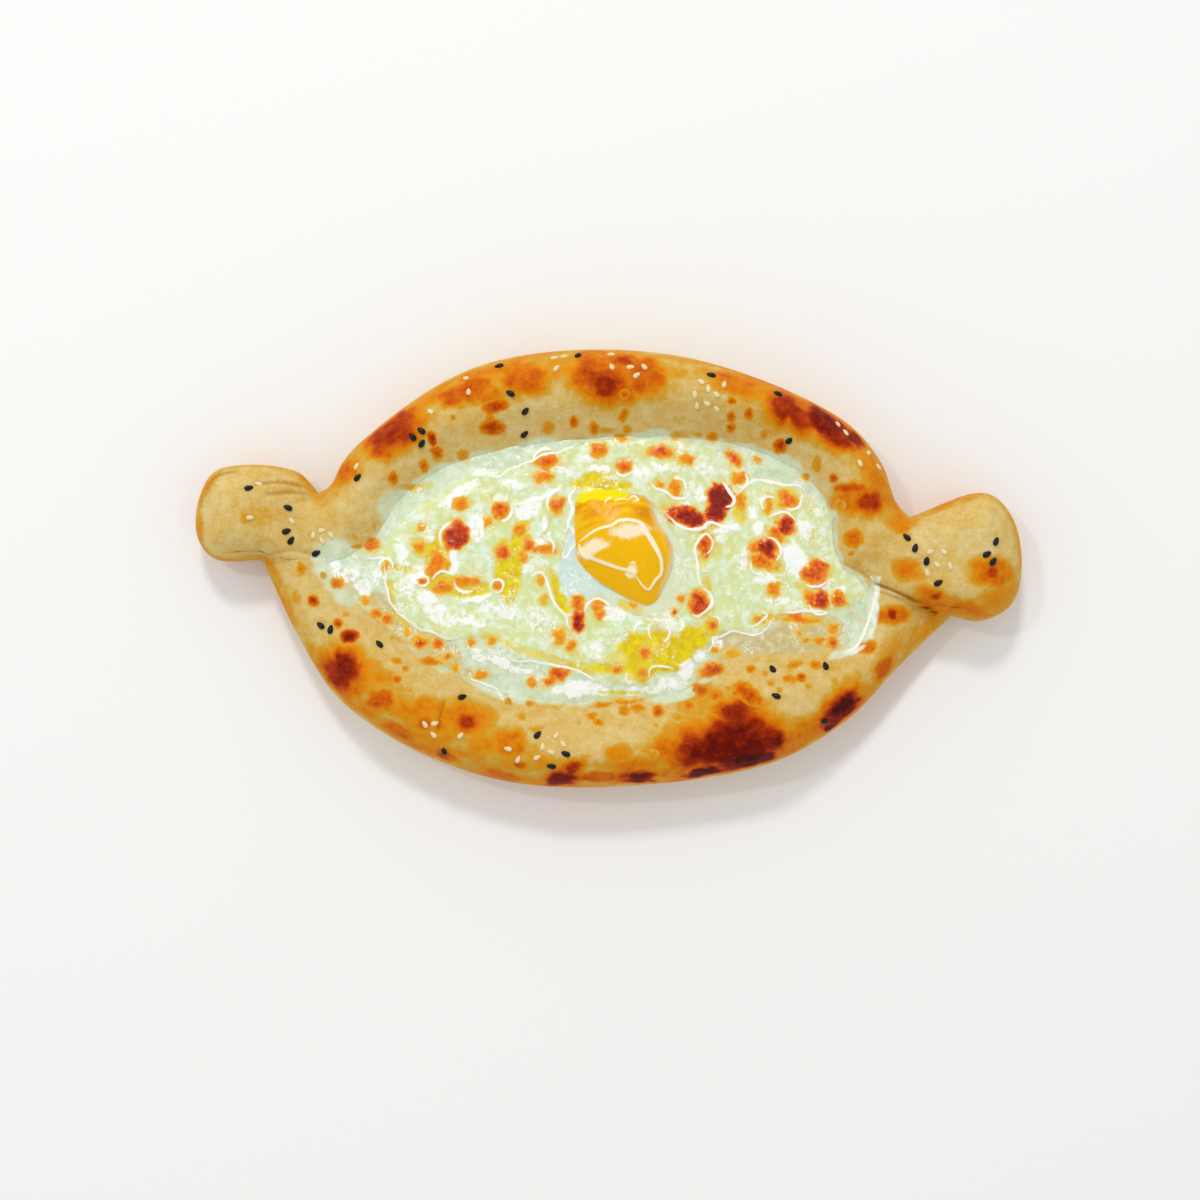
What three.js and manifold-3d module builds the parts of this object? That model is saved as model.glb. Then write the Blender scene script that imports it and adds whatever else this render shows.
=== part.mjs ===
// Adjarian khachapuri: a boat of leavened dough whose two long edges are rolled up and pinched into a
// knob at each end, filled with melted cheese, one egg white and one soft yolk, and strewn with sesame.
//
// Millimetres, +Z up, X along the boat. The origin is on the underside, in the middle of the footprint.
//
// The dough and the filling are height fields over two closed curves: the outer edge of the dough and the
// shoreline where the cheese meets it. One set of rays, from the edge over the shoreline to a keel line in
// the middle of the filling, carries the rows of both skins, so the two have the same facets where they lie
// against each other.

import * as THREE from "three";
import { mergeVertices } from "three/addons/utils/BufferGeometryUtils.js";
import Module from "manifold-3d";

const wasm = await Module();
wasm.setup();
const UP = new THREE.Vector3(0, 0, 1);

// ---------------------------------------------------------------- driving dimensions

const GAP = 0.3; // clearance between pieces that lie against each other
const EDGE_Z = 9.5; // height at which the dough is widest
const ROLL = 14; // how far in from its edge the dough reaches its full height
const SHORE_Z = 18; // height of the cheese where it meets the dough
const BANK = 21; // width of the inner slope, from the shoreline up to the crown
const BANK_OVER = 1.5; // how far above the crown the slope aims, so that the crown stays broad
const BANK_FALL = 1.1; // steepness of the slope below the cheese
const BLEND = 3; // how softly slope and roll run into each other
const FLOOR_Z = 7; // thickness of the dough below the cheese
const CHEESE_DOME = 1.6; // how far the middle of the cheese stands above its shoreline
const CHEESE_EASE = 16; // how far in from its shoreline the cheese has risen to that
const CHEESE_LUMP = 0.5; // height of the cheese's uneven swells
const CHEESE_PITCH = 9; // a third of their spacing
const CHEESE_DIP = 0.2; // how far below the dough the cheese's rim lies
const WHITE_SEAT = 4.4; // how deep the egg white lies in the cheese
const WHITE_PROUD = 0.8; // how far it stands above the cheese
const YOLK_SEAT = 2.2; // how deep the yolk lies in the egg white
const YOLK_TOP = 5.6; // how far it stands above the egg white
// The brim of each, as a share of the height above, and the width of the slope up from it.
const WHITE_ROLL = { brim: 0.3, slope: 6 };
const YOLK_ROLL = { brim: 0.12, slope: 15 };
const SEAT_SLOPE = 7; // width of the slope down into either seat
const SEED = { length: 3.3, width: 2.0, height: 1.5 };
const SEED_TAPER = 0.5; // how much slimmer a seed is at its pointed end
const SEED_FROM_EDGE = 2.5; // how far a seed stays from the outer edge
const SEED_PROUD = 0.2; // how far a seed's middle stands above the dough, as a share of its height

// The crown's height along the boat, as [x, z], for the rolled edge that runs into both knobs, and for
// the one that is tucked under them.
const CROWN_OVER = [
  [-145, 25], [-128, 27], [-104, 21.5], [-76, 27], [0, 31], [72, 30], [101, 25.5], [128, 30], [146, 27],
];
const CROWN_UNDER = [[-121, 16], [-104, 21], [-76, 26.5], [0, 29.5], [60, 29], [92, 22.5], [122, 13]];
// The seam, as [x, y], below which the dough belongs to the edge that is tucked under. It leaves both
// knobs out.
const SEAM = [[-124, -20], [-120.6, -6.7], [-96, -5], [84, 0.5], [92, -4], [121.7, -11.5], [125, -20]];
const TUCK = 8; // how far from the seam the upper dough reaches its full height
// Creases pressed in where the dough was folded and pinched: the line of each, its depth and its width.
const CREASES = [
  { route: [[-119, -7.5], [-108, -5.5], [-97, -5]], depth: 1.2, width: 2.4 },
  { route: [[-102, 18.5], [-108, 16], [-117, 15.5]], depth: 1.3, width: 2 },
  { route: [[-101, 12], [-108, 14.5], [-116, 12]], depth: 0.8, width: 1.8 },
  { route: [[82, 1.5], [91, -4], [103, -7.5], [114, -10]], depth: 1.4, width: 2.4 },
];
const DOUGH_LUMP = 0.8; // height of the dough's uneven swells
const DOUGH_PITCH = 12; // a third of their spacing
const RELIEF_EASE = 6; // width over which swells and creases fade out towards the cheese

// The outer edge and the shoreline, clockwise from the crease below the left knob, in four stretches each:
// the left knob, the upper rim, the right knob and the lower rim. The stretches meet in the creases beside
// the knobs, and each has as many steps in both curves.
const STEPS = [26, 48, 30, 52];
const EDGE = [
  [[-120.6, -6.7], [-137.5, -7.2], [-144, 0.5], [-143.6, 15], [-138, 24], [-111, 25.2], [-102.4, 17.9]],
  [
    [-102.4, 17.9], [-98.4, 21], [-94.8, 29], [-88, 37.5], [-48.6, 66], [17.6, 73.9], [78.3, 55.4],
    [93.5, 41], [100, 27], [104.8, 22.2],
  ],
  [[104.8, 22.2], [131, 32.2], [140.6, 24.5], [145, 7.8], [142.4, -6.2], [132, -12.6], [121.7, -11.5]],
  [
    [121.7, -11.5], [105, -29.5], [86.6, -50.8], [57.8, -68.3], [-18.6, -79.7], [-57.7, -72], [-90.3, -54],
    [-105.6, -34], [-120.6, -6.7],
  ],
];
const SHORE = [
  [[-97, -9], [-97, -6.5], [-91, -4]],
  [[-91, -4], [-82, 3], [-73, 18], [-50, 33.5], [23, 45], [55, 40], [73, 28], [79, 8]],
  [[79, 8], [82, 3], [88, -0.5], [91, -5]],
  [[91, -5], [89, -20], [74, -27], [46, -31], [26, -45], [-37, -47], [-88, -18], [-97, -9]],
];
const KEEL = [new THREE.Vector2(-86, -9), new THREE.Vector2(80, -8)];

// Where the rows of the skins lie: straight in from the edge, in millimetres, then as shares of the way
// from the last of those to the shoreline, and from there to the keel.
const RIM_ROWS = [0, 0.4, 1.3, 3];
const CRUST_ROWS = [0.09, 0.19, 0.3, 0.42, 0.55, 0.69, 0.84, 1];
const HOLLOW_ROWS = [0.12, 0.26];
const CHEESE_ROWS = [0.06, 0.2, 0.45, 0.72];
const FLOOR_ROW = 0.42;
// Where the rows of the egg lie, as shares of the way from its outline to its centre.
const LENS_ROWS = [0.03, 0.12, 0.28, 0.55];
const SEAT_ROW = -0.02; // the rim of its seat, just outside the outline
const SEAT_ROOM = 12; // how far up a seat is cut, well past the surface
// The rounded lower edge, as [how far in, height], from the underside up.
const UNDERCUT = [[7, 0], [3, 1.4], [0.8, 5]];

// The outlines of the egg.
const WHITE_EDGE = [
  [-9, 24.5], [18, 21.5], [31.5, -2], [30.5, -14], [24, -21.5], [-2, -18], [-14, -15.5], [-19.5, -6],
];
const YOLK_EDGE = [
  [-11.5, 15], [-9, 22.5], [2, 25.2], [12, 22.3], [22.8, 5], [22, -6], [15.5, -13.5], [-9.5, 0],
];
const WHITE_CENTRE = new THREE.Vector2(6, 2);
const YOLK_CENTRE = new THREE.Vector2(6, 5);

const SEED_TRIES = 20;
// Sesame, strewn in loose groups: the middle of each group, as x and y, its number of seeds and its
// spread. The first groups are the black seeds', the others the pale ones'.
const SEED_GROUPS = [
  [-124.7, 17.5, 1, 0.5], [-111.2, 11.9, 1, 0.5], [-110.6, 1.9, 2, 2.5], [-106.5, 19.6, 1, 0.5],
  [-100.5, -3.5, 1, 0.5], [-96, -28.8, 2, 2.5], [-76.9, -33.6, 1, 0.5], [-47, -50, 1, 0.5],
  [-87.7, 23.9, 1, 0.5], [-66.6, 39.5, 3, 3.6], [-41.2, 64.5, 1, 0.5], [-37, 55.1, 1, 0.5],
  [-31.5, 49.7, 1, 0.5], [-31.4, 42.5, 1, 0.5], [-14.2, 69.8, 1, 0.5], [31.7, 66.2, 1, 0.5],
  [55.3, 61.5, 1, 0.5], [60.1, 45.9, 1, 0.5], [103.4, 12.3, 2, 2.5], [109, 7.8, 2, 2],
  [114.1, -0.5, 1, 0.5], [132.6, 15.2, 1, 0.5], [131.3, 9.5, 2, 2], [59, -33.8, 1, 0.5],
  [77.4, -31.2, 1, 0.5], [61, -42.7, 1, 0.5], [78.5, -50.5, 1, 0.5], [-20.2, -61.4, 1, 0.5],
  [-10, -66.5, 1, 0.5], [-14.9, -71.1, 1, 0.5], [-52, -69, 1, 0.5],

  [-123.5, 18.4, 2, 2.2], [-123.2, 7.2, 1, 0.5], [-110.4, 5.5, 3, 2.8], [-99, 2.7, 4, 3.2],
  [-87.9, 27.6, 2, 2], [-63.6, 48, 1, 0.5], [-52, 58, 2, 3], [-22, 68, 3, 3.5], [-3, 69.5, 2, 3],
  [7.4, 67.5, 4, 4], [32.2, 58.8, 9, 6], [79, 51.5, 3, 3], [88.5, 40.5, 4, 4.5], [112.8, 6.9, 6, 5],
  [-14.9, -65.4, 8, 6], [-27.4, -68.3, 3, 3.5], [-56.9, -61, 4, 3], [-46.7, -62.8, 1, 0.5],
];

// ---------------------------------------------------------------- curves and distances

const roll = (share) => Math.sqrt(1 - (1 - THREE.MathUtils.clamp(share, 0, 1)) ** 2);

function spline(points, closed) {
  const knots = points.map(([x, y]) => new THREE.Vector3(x, y, 0));
  return new THREE.CatmullRomCurve3(knots, closed, "centripetal");
}

function pointsOf(curve, steps) {
  return curve.getSpacedPoints(steps).slice(0, -1).map((p) => new THREE.Vector2(p.x, p.y));
}

function loopThrough(points, steps) {
  return pointsOf(spline(points, true), steps);
}

// One closed loop from stretches that may meet in a corner.
function loopOf(stretches) {
  return stretches.flatMap((points, i) => pointsOf(spline(points, false), STEPS[i]));
}

// The value at x of a line of [x, value] stations, eased from each station to the next.
function along(stations, x) {
  const next = stations.findIndex(([station]) => station > x);
  if (next === 0) return stations[0][1];
  if (next < 0) return stations.at(-1)[1];
  const [[x0, v0], [x1, v1]] = [stations[next - 1], stations[next]];
  return v0 + (v1 - v0) * THREE.MathUtils.smoothstep(x, x0, x1);
}

function straightAlong(stations, x) {
  const beyond = stations.findIndex(([station]) => station > x);
  const next = beyond < 0 ? stations.length - 1 : Math.max(beyond, 1);
  const [[x0, v0], [x1, v1]] = [stations[next - 1], stations[next]];
  return THREE.MathUtils.mapLinear(THREE.MathUtils.clamp(x, x0, x1), x0, x1, v0, v1);
}

// The distance from a place to a closed loop of points, or to an open line.
function distanceTo(loop, x, y, closed = true) {
  let nearest = Infinity;
  for (let i = 0; i < loop.length - (closed ? 0 : 1); i++) {
    const a = loop[i];
    const b = loop[(i + 1) % loop.length];
    const [dx, dy] = [b.x - a.x, b.y - a.y];
    const t = THREE.MathUtils.clamp(((x - a.x) * dx + (y - a.y) * dy) / (dx * dx + dy * dy), 0, 1);
    nearest = Math.min(nearest, Math.hypot(x - a.x - t * dx, y - a.y - t * dy));
  }
  return nearest;
}

function isInside(loop, x, y) {
  let inside = false;
  for (let i = 0, j = loop.length - 1; i < loop.length; j = i++) {
    const [a, b] = [loop[i], loop[j]];
    if (a.y > y !== b.y > y && x < ((b.x - a.x) * (y - a.y)) / (b.y - a.y) + a.x) inside = !inside;
  }
  return inside;
}

const creases = CREASES.map(({ route, depth, width }) => {
  const line = spline(route, false).getSpacedPoints(8);
  return { line, depth, width };
});
const edge = loopOf(EDGE);
const shore = loopOf(SHORE);
const fromShore = (x, y) => distanceTo(shore, x, y) * (isInside(shore, x, y) ? -1 : 1);

// ---------------------------------------------------------------- heights

function smoothMin(a, b, reach) {
  const h = Math.max(reach - Math.abs(a - b), 0) / reach;
  return Math.min(a, b) - (h * h * reach) / 4;
}

// The inner slope: straight below the shoreline, and easing over into the crown above it.
function slopeHeight(out, crown) {
  if (out < 0) return SHORE_Z + BANK_FALL * out;
  const climb = Math.sin((Math.min(out / BANK, 1) * Math.PI) / 2);
  return SHORE_Z + (crown + BANK_OVER - SHORE_Z) * climb;
}

// The rolled edge and the slope down to the filling, for one height of crown.
function banked(x, y, crown) {
  const dome = EDGE_Z + (crown - EDGE_Z) * roll(distanceTo(edge, x, y) / ROLL);
  return Math.max(smoothMin(dome, slopeHeight(fromShore(x, y), crown), BLEND), FLOOR_Z);
}

// An uneven swell between -1 and 1, whose humps are about three times the pitch apart.
function swell(x, y, pitch) {
  const [u, v] = [x / pitch, y / pitch];
  return 0.5 * (Math.sin(u + 1.3 * Math.sin(0.8 * v)) + Math.sin(1.3 * v - 0.8 * Math.sin(0.7 * u + 2)));
}

function creased(x, y) {
  const depths = creases.map(({ line, depth, width }) => {
    const away = distanceTo(line, x, y, false) / width;
    return depth * Math.exp(-away * away);
  });
  return Math.max(...depths);
}

// The dough's upper surface: the edge that runs into the knobs lies over the one that is tucked under.
function doughHeight(x, y) {
  const over = banked(x, y, along(CROWN_OVER, x));
  const under = banked(x, y, along(CROWN_UNDER, x));
  const folded = THREE.MathUtils.lerp(under, over, roll((y - straightAlong(SEAM, x)) / TUCK));
  const relief = DOUGH_LUMP * swell(x, y, DOUGH_PITCH) - creased(x, y);
  const atEdge = roll(distanceTo(edge, x, y) / ROLL);
  const atShore = THREE.MathUtils.smoothstep(fromShore(x, y), 0, RELIEF_EASE);
  return folded + relief * atEdge * atShore;
}

const whiteEdge = loopThrough(WHITE_EDGE, 36);
const yolkEdge = loopThrough(YOLK_EDGE, 30);

function cheeseHeight(x, y) {
  const inland = -fromShore(x, y);
  const rise = CHEESE_DOME + CHEESE_LUMP * swell(x, y, CHEESE_PITCH);
  return SHORE_Z - CHEESE_DIP + rise * THREE.MathUtils.smoothstep(inland, 0, CHEESE_EASE);
}

// How far a point inside a closed curve lies down a rounded slope, from 0 on the curve to 1.
function sunk(loop, x, y, slope) {
  return isInside(loop, x, y) ? roll(distanceTo(loop, x, y) / slope) : 0;
}

// How far a point is up a rounded brim, which starts a share of the way up.
function raised(loop, x, y, { brim, slope }) {
  return brim + (1 - brim) * sunk(loop, x, y, slope);
}

const whiteHeight = (x, y) => cheeseHeight(x, y) + WHITE_PROUD * raised(whiteEdge, x, y, WHITE_ROLL);
const whiteSeat = (x, y) => cheeseHeight(x, y) - WHITE_SEAT * sunk(whiteEdge, x, y, SEAT_SLOPE);
const yolkHeight = (x, y) => whiteHeight(x, y) + YOLK_TOP * raised(yolkEdge, x, y, YOLK_ROLL);
const yolkSeat = (x, y) => whiteHeight(x, y) - YOLK_SEAT * sunk(yolkEdge, x, y, SEAT_SLOPE);

// ---------------------------------------------------------------- skins

// One closed solid from a stack of loops with as many points each, the first and last of them filled in.
// The first rows of a stack may run outward: their facets are split like those of rows that run inward.
function skinOf(loops, outwardRows = 0) {
  const count = loops[0].length;
  const position = loops.flat().flatMap((p) => [p.x, p.y, p.z]);
  const index = [];
  for (let row = 0; row + 1 < loops.length; row++)
    for (let i = 0; i < count; i++) {
      const [a, b] = [row * count + i, row * count + ((i + 1) % count)];
      if (row < outwardRows) index.push(a, b + count, b, a, a + count, b + count);
      else index.push(a, a + count, b, b, a + count, b + count);
    }
  const last = (loops.length - 1) * count;
  index.push(...fill(loops[0], -1));
  index.push(...fill(loops.at(-1), 1).map((i) => last + i));
  const geometry = new THREE.BufferGeometry();
  geometry.setAttribute("position", new THREE.Float32BufferAttribute(position, 3));
  geometry.setIndex(index);
  return geometry;
}

// The corners of the triangles that fill a loop, in the order that faces up (sign 1) or down (sign -1).
function fill(loop, sign) {
  const outline = loop.map((p) => new THREE.Vector2(p.x, p.y));
  return THREE.ShapeUtils.triangulateShape(outline, []).flatMap(([a, b, c]) => {
    const [p, q, r] = [outline[a], outline[b], outline[c]];
    return q.clone().sub(p).cross(r.clone().sub(p)) * sign > 0 ? [a, b, c] : [a, c, b];
  });
}

function toManifold(geometry) {
  const bare = geometry.clone();
  bare.deleteAttribute("normal");
  bare.deleteAttribute("uv");
  const merged = mergeVertices(bare, 1e-4);
  return new wasm.Manifold(
    new wasm.Mesh({
      numProp: 3,
      vertProperties: new Float32Array(merged.attributes.position.array),
      triVerts: new Uint32Array(merged.index.array),
    }),
  );
}

function toGeometry(solid) {
  const mesh = solid.getMesh();
  const geometry = new THREE.BufferGeometry();
  geometry.setAttribute("position", new THREE.Float32BufferAttribute(mesh.vertProperties, 3));
  geometry.setIndex(Array.from(mesh.triVerts));
  return geometry;
}

// The point that lies straight in from a point of the edge.
function inFrom(i, inset) {
  const [before, after] = [edge.at(i - 1), edge[(i + 1) % edge.length]];
  const ahead = new THREE.Vector2().subVectors(after, before).normalize();
  return new THREE.Vector2(edge[i].x + ahead.y * inset, edge[i].y - ahead.x * inset);
}

// The rays: a point just in from each point of the edge, the point of the shoreline that it is paired
// with, and the point of the keel nearest to that.
const rays = edge.map((_, i) => {
  const keel = new THREE.Vector2().subVectors(KEEL[1], KEEL[0]);
  const t = new THREE.Vector2().subVectors(shore[i], KEEL[0]).dot(keel) / keel.lengthSq();
  const inner = KEEL[0].clone().addScaledVector(keel, THREE.MathUtils.clamp(t, 0, 1));
  return { rim: inFrom(i, RIM_ROWS.at(-1)), shore: shore[i], inner };
});

// The loop of points that lie a share of the way along one part of every ray, at the height given.
function loopAt(from, to, share, height, lift = 0) {
  return rays.map((ray) => {
    const p = ray[from].clone().lerp(ray[to], share);
    return new THREE.Vector3(p.x, p.y, height(p.x, p.y) + lift);
  });
}

// The loop of points that lie straight in from the edge, at the height given.
function insetLoop(inset, height) {
  return edge.map((_, i) => {
    const p = inFrom(i, inset);
    return new THREE.Vector3(p.x, p.y, height(p.x, p.y));
  });
}

function doughSkin() {
  return skinOf([
    ...UNDERCUT.map(([inset, z]) => insetLoop(inset, () => z)),
    ...RIM_ROWS.map((inset) => insetLoop(inset, doughHeight)),
    ...CRUST_ROWS.map((share) => loopAt("rim", "shore", share, doughHeight)),
    ...HOLLOW_ROWS.map((share) => loopAt("shore", "inner", share, doughHeight)),
    loopAt("shore", "inner", FLOOR_ROW, () => FLOOR_Z),
  ]);
}

// The cheese shares the dough's rows on its underside, a gap above them.
function cheeseSkin() {
  const underside = [
    loopAt("shore", "inner", FLOOR_ROW, () => FLOOR_Z + GAP),
    ...HOLLOW_ROWS.toReversed().map((share) => loopAt("shore", "inner", share, doughHeight, GAP)),
  ];
  const top = CHEESE_ROWS.map((share) => loopAt("shore", "inner", share, cheeseHeight));
  return skinOf([...underside, ...top], underside.length - 1);
}

// A lens between two heights, inside a closed outline. Its rows lie at shares of the way to the centre.
function lensSkin(loop, centre, shares, top, bottom) {
  const rowAt = (share, height) =>
    loop.map((p) => {
      const q = p.clone().lerp(centre, share);
      return new THREE.Vector3(q.x, q.y, height(q.x, q.y));
    });
  const underside = shares.toReversed().map((share) => rowAt(share, bottom));
  const upside = shares.map((share) => rowAt(share, top));
  return skinOf([...underside, ...upside], underside.length - 1);
}

// What is cut out for a lens to lie in: a gap below it and beyond its rim.
function seatFor(loop, centre, bottom) {
  const clear = (x, y) => bottom(x, y) - GAP;
  const ceiling = (x, y) => bottom(x, y) + SEAT_ROOM;
  return toManifold(lensSkin(loop, centre, [SEAT_ROW, ...LENS_ROWS], ceiling, clear));
}

// ---------------------------------------------------------------- sesame

// A flattened grain, pointed at one end.
function seedGeometry() {
  const seed = new THREE.IcosahedronGeometry(0.5, 0);
  const position = seed.attributes.position;
  for (let i = 0; i < position.count; i++) {
    const taper = 1 - SEED_TAPER * position.getX(i);
    const [width, height] = [SEED.width * taper, SEED.height * taper];
    position.setXYZ(i, position.getX(i) * SEED.length, position.getY(i) * width, position.getZ(i) * height);
  }
  return seed;
}

// Park and Miller's generator, so that the strewing is the same each time.
function* draws(seed) {
  for (let state = seed; ; ) {
    state = (state * 48271) % 2147483647;
    yield state / 2147483647;
  }
}

// A seed is drawn again where it would touch an earlier one, the filling or the edge.
function strewn() {
  const random = draws(2024);
  const next = () => random.next().value;
  const places = [];
  const isFree = ({ x, y }) =>
    isInside(edge, x, y) &&
    distanceTo(edge, x, y) > SEED_FROM_EDGE &&
    fromShore(x, y) > SEED.length &&
    places.every((other) => Math.hypot(other.x - x, other.y - y) > SEED.length);
  for (const [x, y, count, spread] of SEED_GROUPS)
    for (let i = 0; i < count; i++)
      for (let tries = 0; tries < SEED_TRIES; tries++) {
        const [angle, reach] = [next() * 2 * Math.PI, Math.sqrt(next()) * spread];
        const heading = next() * Math.PI;
        const place = { x: x + reach * Math.cos(angle), y: y + reach * Math.sin(angle), heading };
        if (!isFree(place)) continue;
        places.push(place);
        break;
      }
  return places;
}

// A seed that lies on the dough below its place, a little sunk in.
function seedSolid({ x, y, heading }, dough) {
  const above = new THREE.Vector3(x, y, 2 * Math.max(...CROWN_OVER.map(([, z]) => z)));
  const [hit] = new THREE.Raycaster(above, UP.clone().negate()).intersectObject(dough);
  const upright = new THREE.Quaternion().setFromUnitVectors(UP, hit.face.normal);
  const turned = upright.multiply(new THREE.Quaternion().setFromAxisAngle(UP, heading));
  const place = hit.point.addScaledVector(hit.face.normal, SEED_PROUD * SEED.height);
  const matrix = new THREE.Matrix4().compose(place, turned, new THREE.Vector3(1, 1, 1));
  return toManifold(seedGeometry().applyMatrix4(matrix));
}

// ---------------------------------------------------------------- the khachapuri

function piece(name, geometry, color, roughness) {
  const mesh = new THREE.Mesh(geometry, new THREE.MeshStandardMaterial({ color, roughness, metalness: 0 }));
  mesh.name = name;
  return mesh;
}

const dough = new THREE.Mesh(doughSkin());
const seeds = strewn().map((place) => seedSolid(place, dough));
const bread = seeds.reduce((joined, seed) => joined.add(seed), toManifold(dough.geometry));
const whiteSkin = lensSkin(whiteEdge, WHITE_CENTRE, LENS_ROWS, whiteHeight, whiteSeat);
const yolkSkin = lensSkin(yolkEdge, YOLK_CENTRE, LENS_ROWS, yolkHeight, yolkSeat);
const cheese = toManifold(cheeseSkin()).subtract(seatFor(whiteEdge, WHITE_CENTRE, whiteSeat));
const white = toManifold(whiteSkin).subtract(seatFor(yolkEdge, YOLK_CENTRE, yolkSeat));

const khachapuri = new THREE.Group();
khachapuri.add(
  piece("bread", toGeometry(bread), "#d9b877", 0.6),
  piece("cheese", toGeometry(cheese), "#e6e8c8", 0.35),
  piece("egg_white", toGeometry(white), "#e9efe2", 0.25),
  piece("yolk", yolkSkin, "#f5b20a", 0.2),
);
const box = new THREE.Box2().setFromPoints(edge);
const middle = box.getCenter(new THREE.Vector2());
khachapuri.position.set(-middle.x, -middle.y, 0);

export default khachapuri;
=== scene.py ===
"""Adjarian khachapuri: the looks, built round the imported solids.

A boat of baked dough with a knob at each end, melted cheese under a wet film, a soft egg and sesame.
Lengths in the design section are millimetres in the part's own design frame, X along the boat and Y
towards the upper rim. to_frame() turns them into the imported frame's metres.

Marks on the food, such as scorches and blisters, are listed by their place in the photograph, in the
pixels of its 1200 x 1200 frame, and by their real size in millimetres. An oval mark is a pixel, a length
and a width, an angle and a strength. The angle is how far the length is turned anticlockwise from the
photograph's horizontal, in degrees, and a mark without one lies level.
"""

import math

import bpy
import numpy as np
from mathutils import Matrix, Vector
from mathutils.geometry import tessellate_polygon


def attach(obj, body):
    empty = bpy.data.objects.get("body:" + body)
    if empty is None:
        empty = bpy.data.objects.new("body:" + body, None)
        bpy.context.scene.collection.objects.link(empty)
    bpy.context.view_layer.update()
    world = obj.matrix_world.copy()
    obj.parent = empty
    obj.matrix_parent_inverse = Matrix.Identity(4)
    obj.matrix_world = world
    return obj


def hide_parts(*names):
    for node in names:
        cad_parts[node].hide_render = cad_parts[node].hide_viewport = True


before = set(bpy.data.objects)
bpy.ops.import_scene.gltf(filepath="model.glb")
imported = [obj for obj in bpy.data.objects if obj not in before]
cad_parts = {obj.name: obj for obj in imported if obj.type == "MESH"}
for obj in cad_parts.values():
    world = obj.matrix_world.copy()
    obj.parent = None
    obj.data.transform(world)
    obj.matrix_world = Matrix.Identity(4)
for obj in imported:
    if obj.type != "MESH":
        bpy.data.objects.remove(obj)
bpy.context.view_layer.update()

# ------------------------------------------------------------------ design sizes, as in the solids

EDGE_Z = 9.5  # height at which the dough is widest
ROLL = 14.0  # how far in from its edge the dough reaches its full height
SHORE_Z = 18.0  # height of the cheese where it meets the dough
BANK = 21.0  # width of the inner slope, from the shoreline up to the crown
BANK_OVER = 1.5  # how far that slope aims above the crown
BANK_FALL = 1.1  # how steeply the dough falls away under the cheese
BLEND = 3.0  # over what difference in height the roll and the slope run into each other
FLOOR_Z = 7.0  # thickness of the dough under the cheese
UNDERCUT = 7.0  # how far the underside is drawn in below the edge
CHEESE_DOME = 1.6  # how far the cheese rises within CHEESE_EASE of its edge
CHEESE_EASE = 16.0
CHEESE_LUMP = 0.5  # height and spacing of the cheese's lumps
CHEESE_PITCH = 9.0
CHEESE_DIP = 0.2  # how far the cheese's edge lies below the shoreline
WHITE_SEAT = 4.4  # depth of the seats that the egg white and the yolk lie in
YOLK_SEAT = 2.2
YOLK_TOP = 5.6  # how far the yolk stands above the cheese
DOUGH_LUMP = 0.8  # height and spacing of the dough's lumps, which ease in from the shoreline
DOUGH_PITCH = 12.0
RELIEF_EASE = 6.0
TUCK = 8.0  # how far above the seam the upper edge reaches its own height
SEED_LENGTH, SEED_WIDTH, SEED_HEIGHT = 3.3, 2.0, 1.5
SEED_TAPER = 0.5  # how much slimmer than its other end a seed's point is
SEED_FROM_EDGE = 2.5
BLACK_PROUD, PALE_PROUD = 0.2, 0.05  # how high a seed's middle lies above the crust, as a share of its height
PALE_SCALE = 0.85  # the size of a pale seed beside a black one
SEED_TRIES = 20
ONE_SEED = (1, 0.5)

# The crown's height on the upper and the lower side, and the seam between the sides, as (x, value).
CROWN_OVER = [
    (-145, 25), (-128, 27), (-104, 21.5), (-76, 27), (0, 31), (72, 30), (101, 25.5), (128, 30), (146, 27),
]
CROWN_UNDER = [(-121, 16), (-104, 21), (-76, 26.5), (0, 29.5), (60, 29), (92, 22.5), (122, 13)]
SEAM = [(-124, -20), (-120.6, -6.7), (-96, -5), (84, 0.5), (92, -4), (121.7, -11.5), (125, -20)]

# The outer edge and the shoreline in four paired stretches, clockwise: left knob, upper rim, right knob,
# lower rim.
EDGE = [
    [(-120.6, -6.7), (-137.5, -7.2), (-144, 0.5), (-143.6, 15), (-138, 24), (-111, 25.2), (-102.4, 17.9)],
    [
        (-102.4, 17.9), (-98.4, 21), (-94.8, 29), (-88, 37.5), (-48.6, 66), (17.6, 73.9), (78.3, 55.4),
        (93.5, 41), (100, 27), (104.8, 22.2),
    ],
    [(104.8, 22.2), (131, 32.2), (140.6, 24.5), (145, 7.8), (142.4, -6.2), (132, -12.6), (121.7, -11.5)],
    [
        (121.7, -11.5), (105, -29.5), (86.6, -50.8), (57.8, -68.3), (-18.6, -79.7), (-57.7, -72),
        (-90.3, -54), (-105.6, -34), (-120.6, -6.7),
    ],
]
SHORE = [
    [(-97, -9), (-97, -6.5), (-91, -4)],
    [(-91, -4), (-82, 3), (-73, 18), (-50, 33.5), (23, 45), (55, 40), (73, 28), (79, 8)],
    [(79, 8), (82, 3), (88, -0.5), (91, -5)],
    [(91, -5), (89, -20), (74, -27), (46, -31), (26, -45), (-37, -47), (-88, -18), (-97, -9)],
]
# The line that the hollow's floor closes on.
KEEL = np.array([(-86.0, -9.0), (80.0, -8.0)])
# The egg white's outline, and the middles that the egg's two lenses close on.
WHITE_EDGE = [
    (-9, 24.5), (18, 21.5), (31.5, -2), (30.5, -14), (24, -21.5), (-2, -18), (-14, -15.5), (-19.5, -6),
]
WHITE_CENTRE = np.array([6.0, 2.0])
YOLK_CENTRE = np.array([6.0, 5.0])

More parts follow.
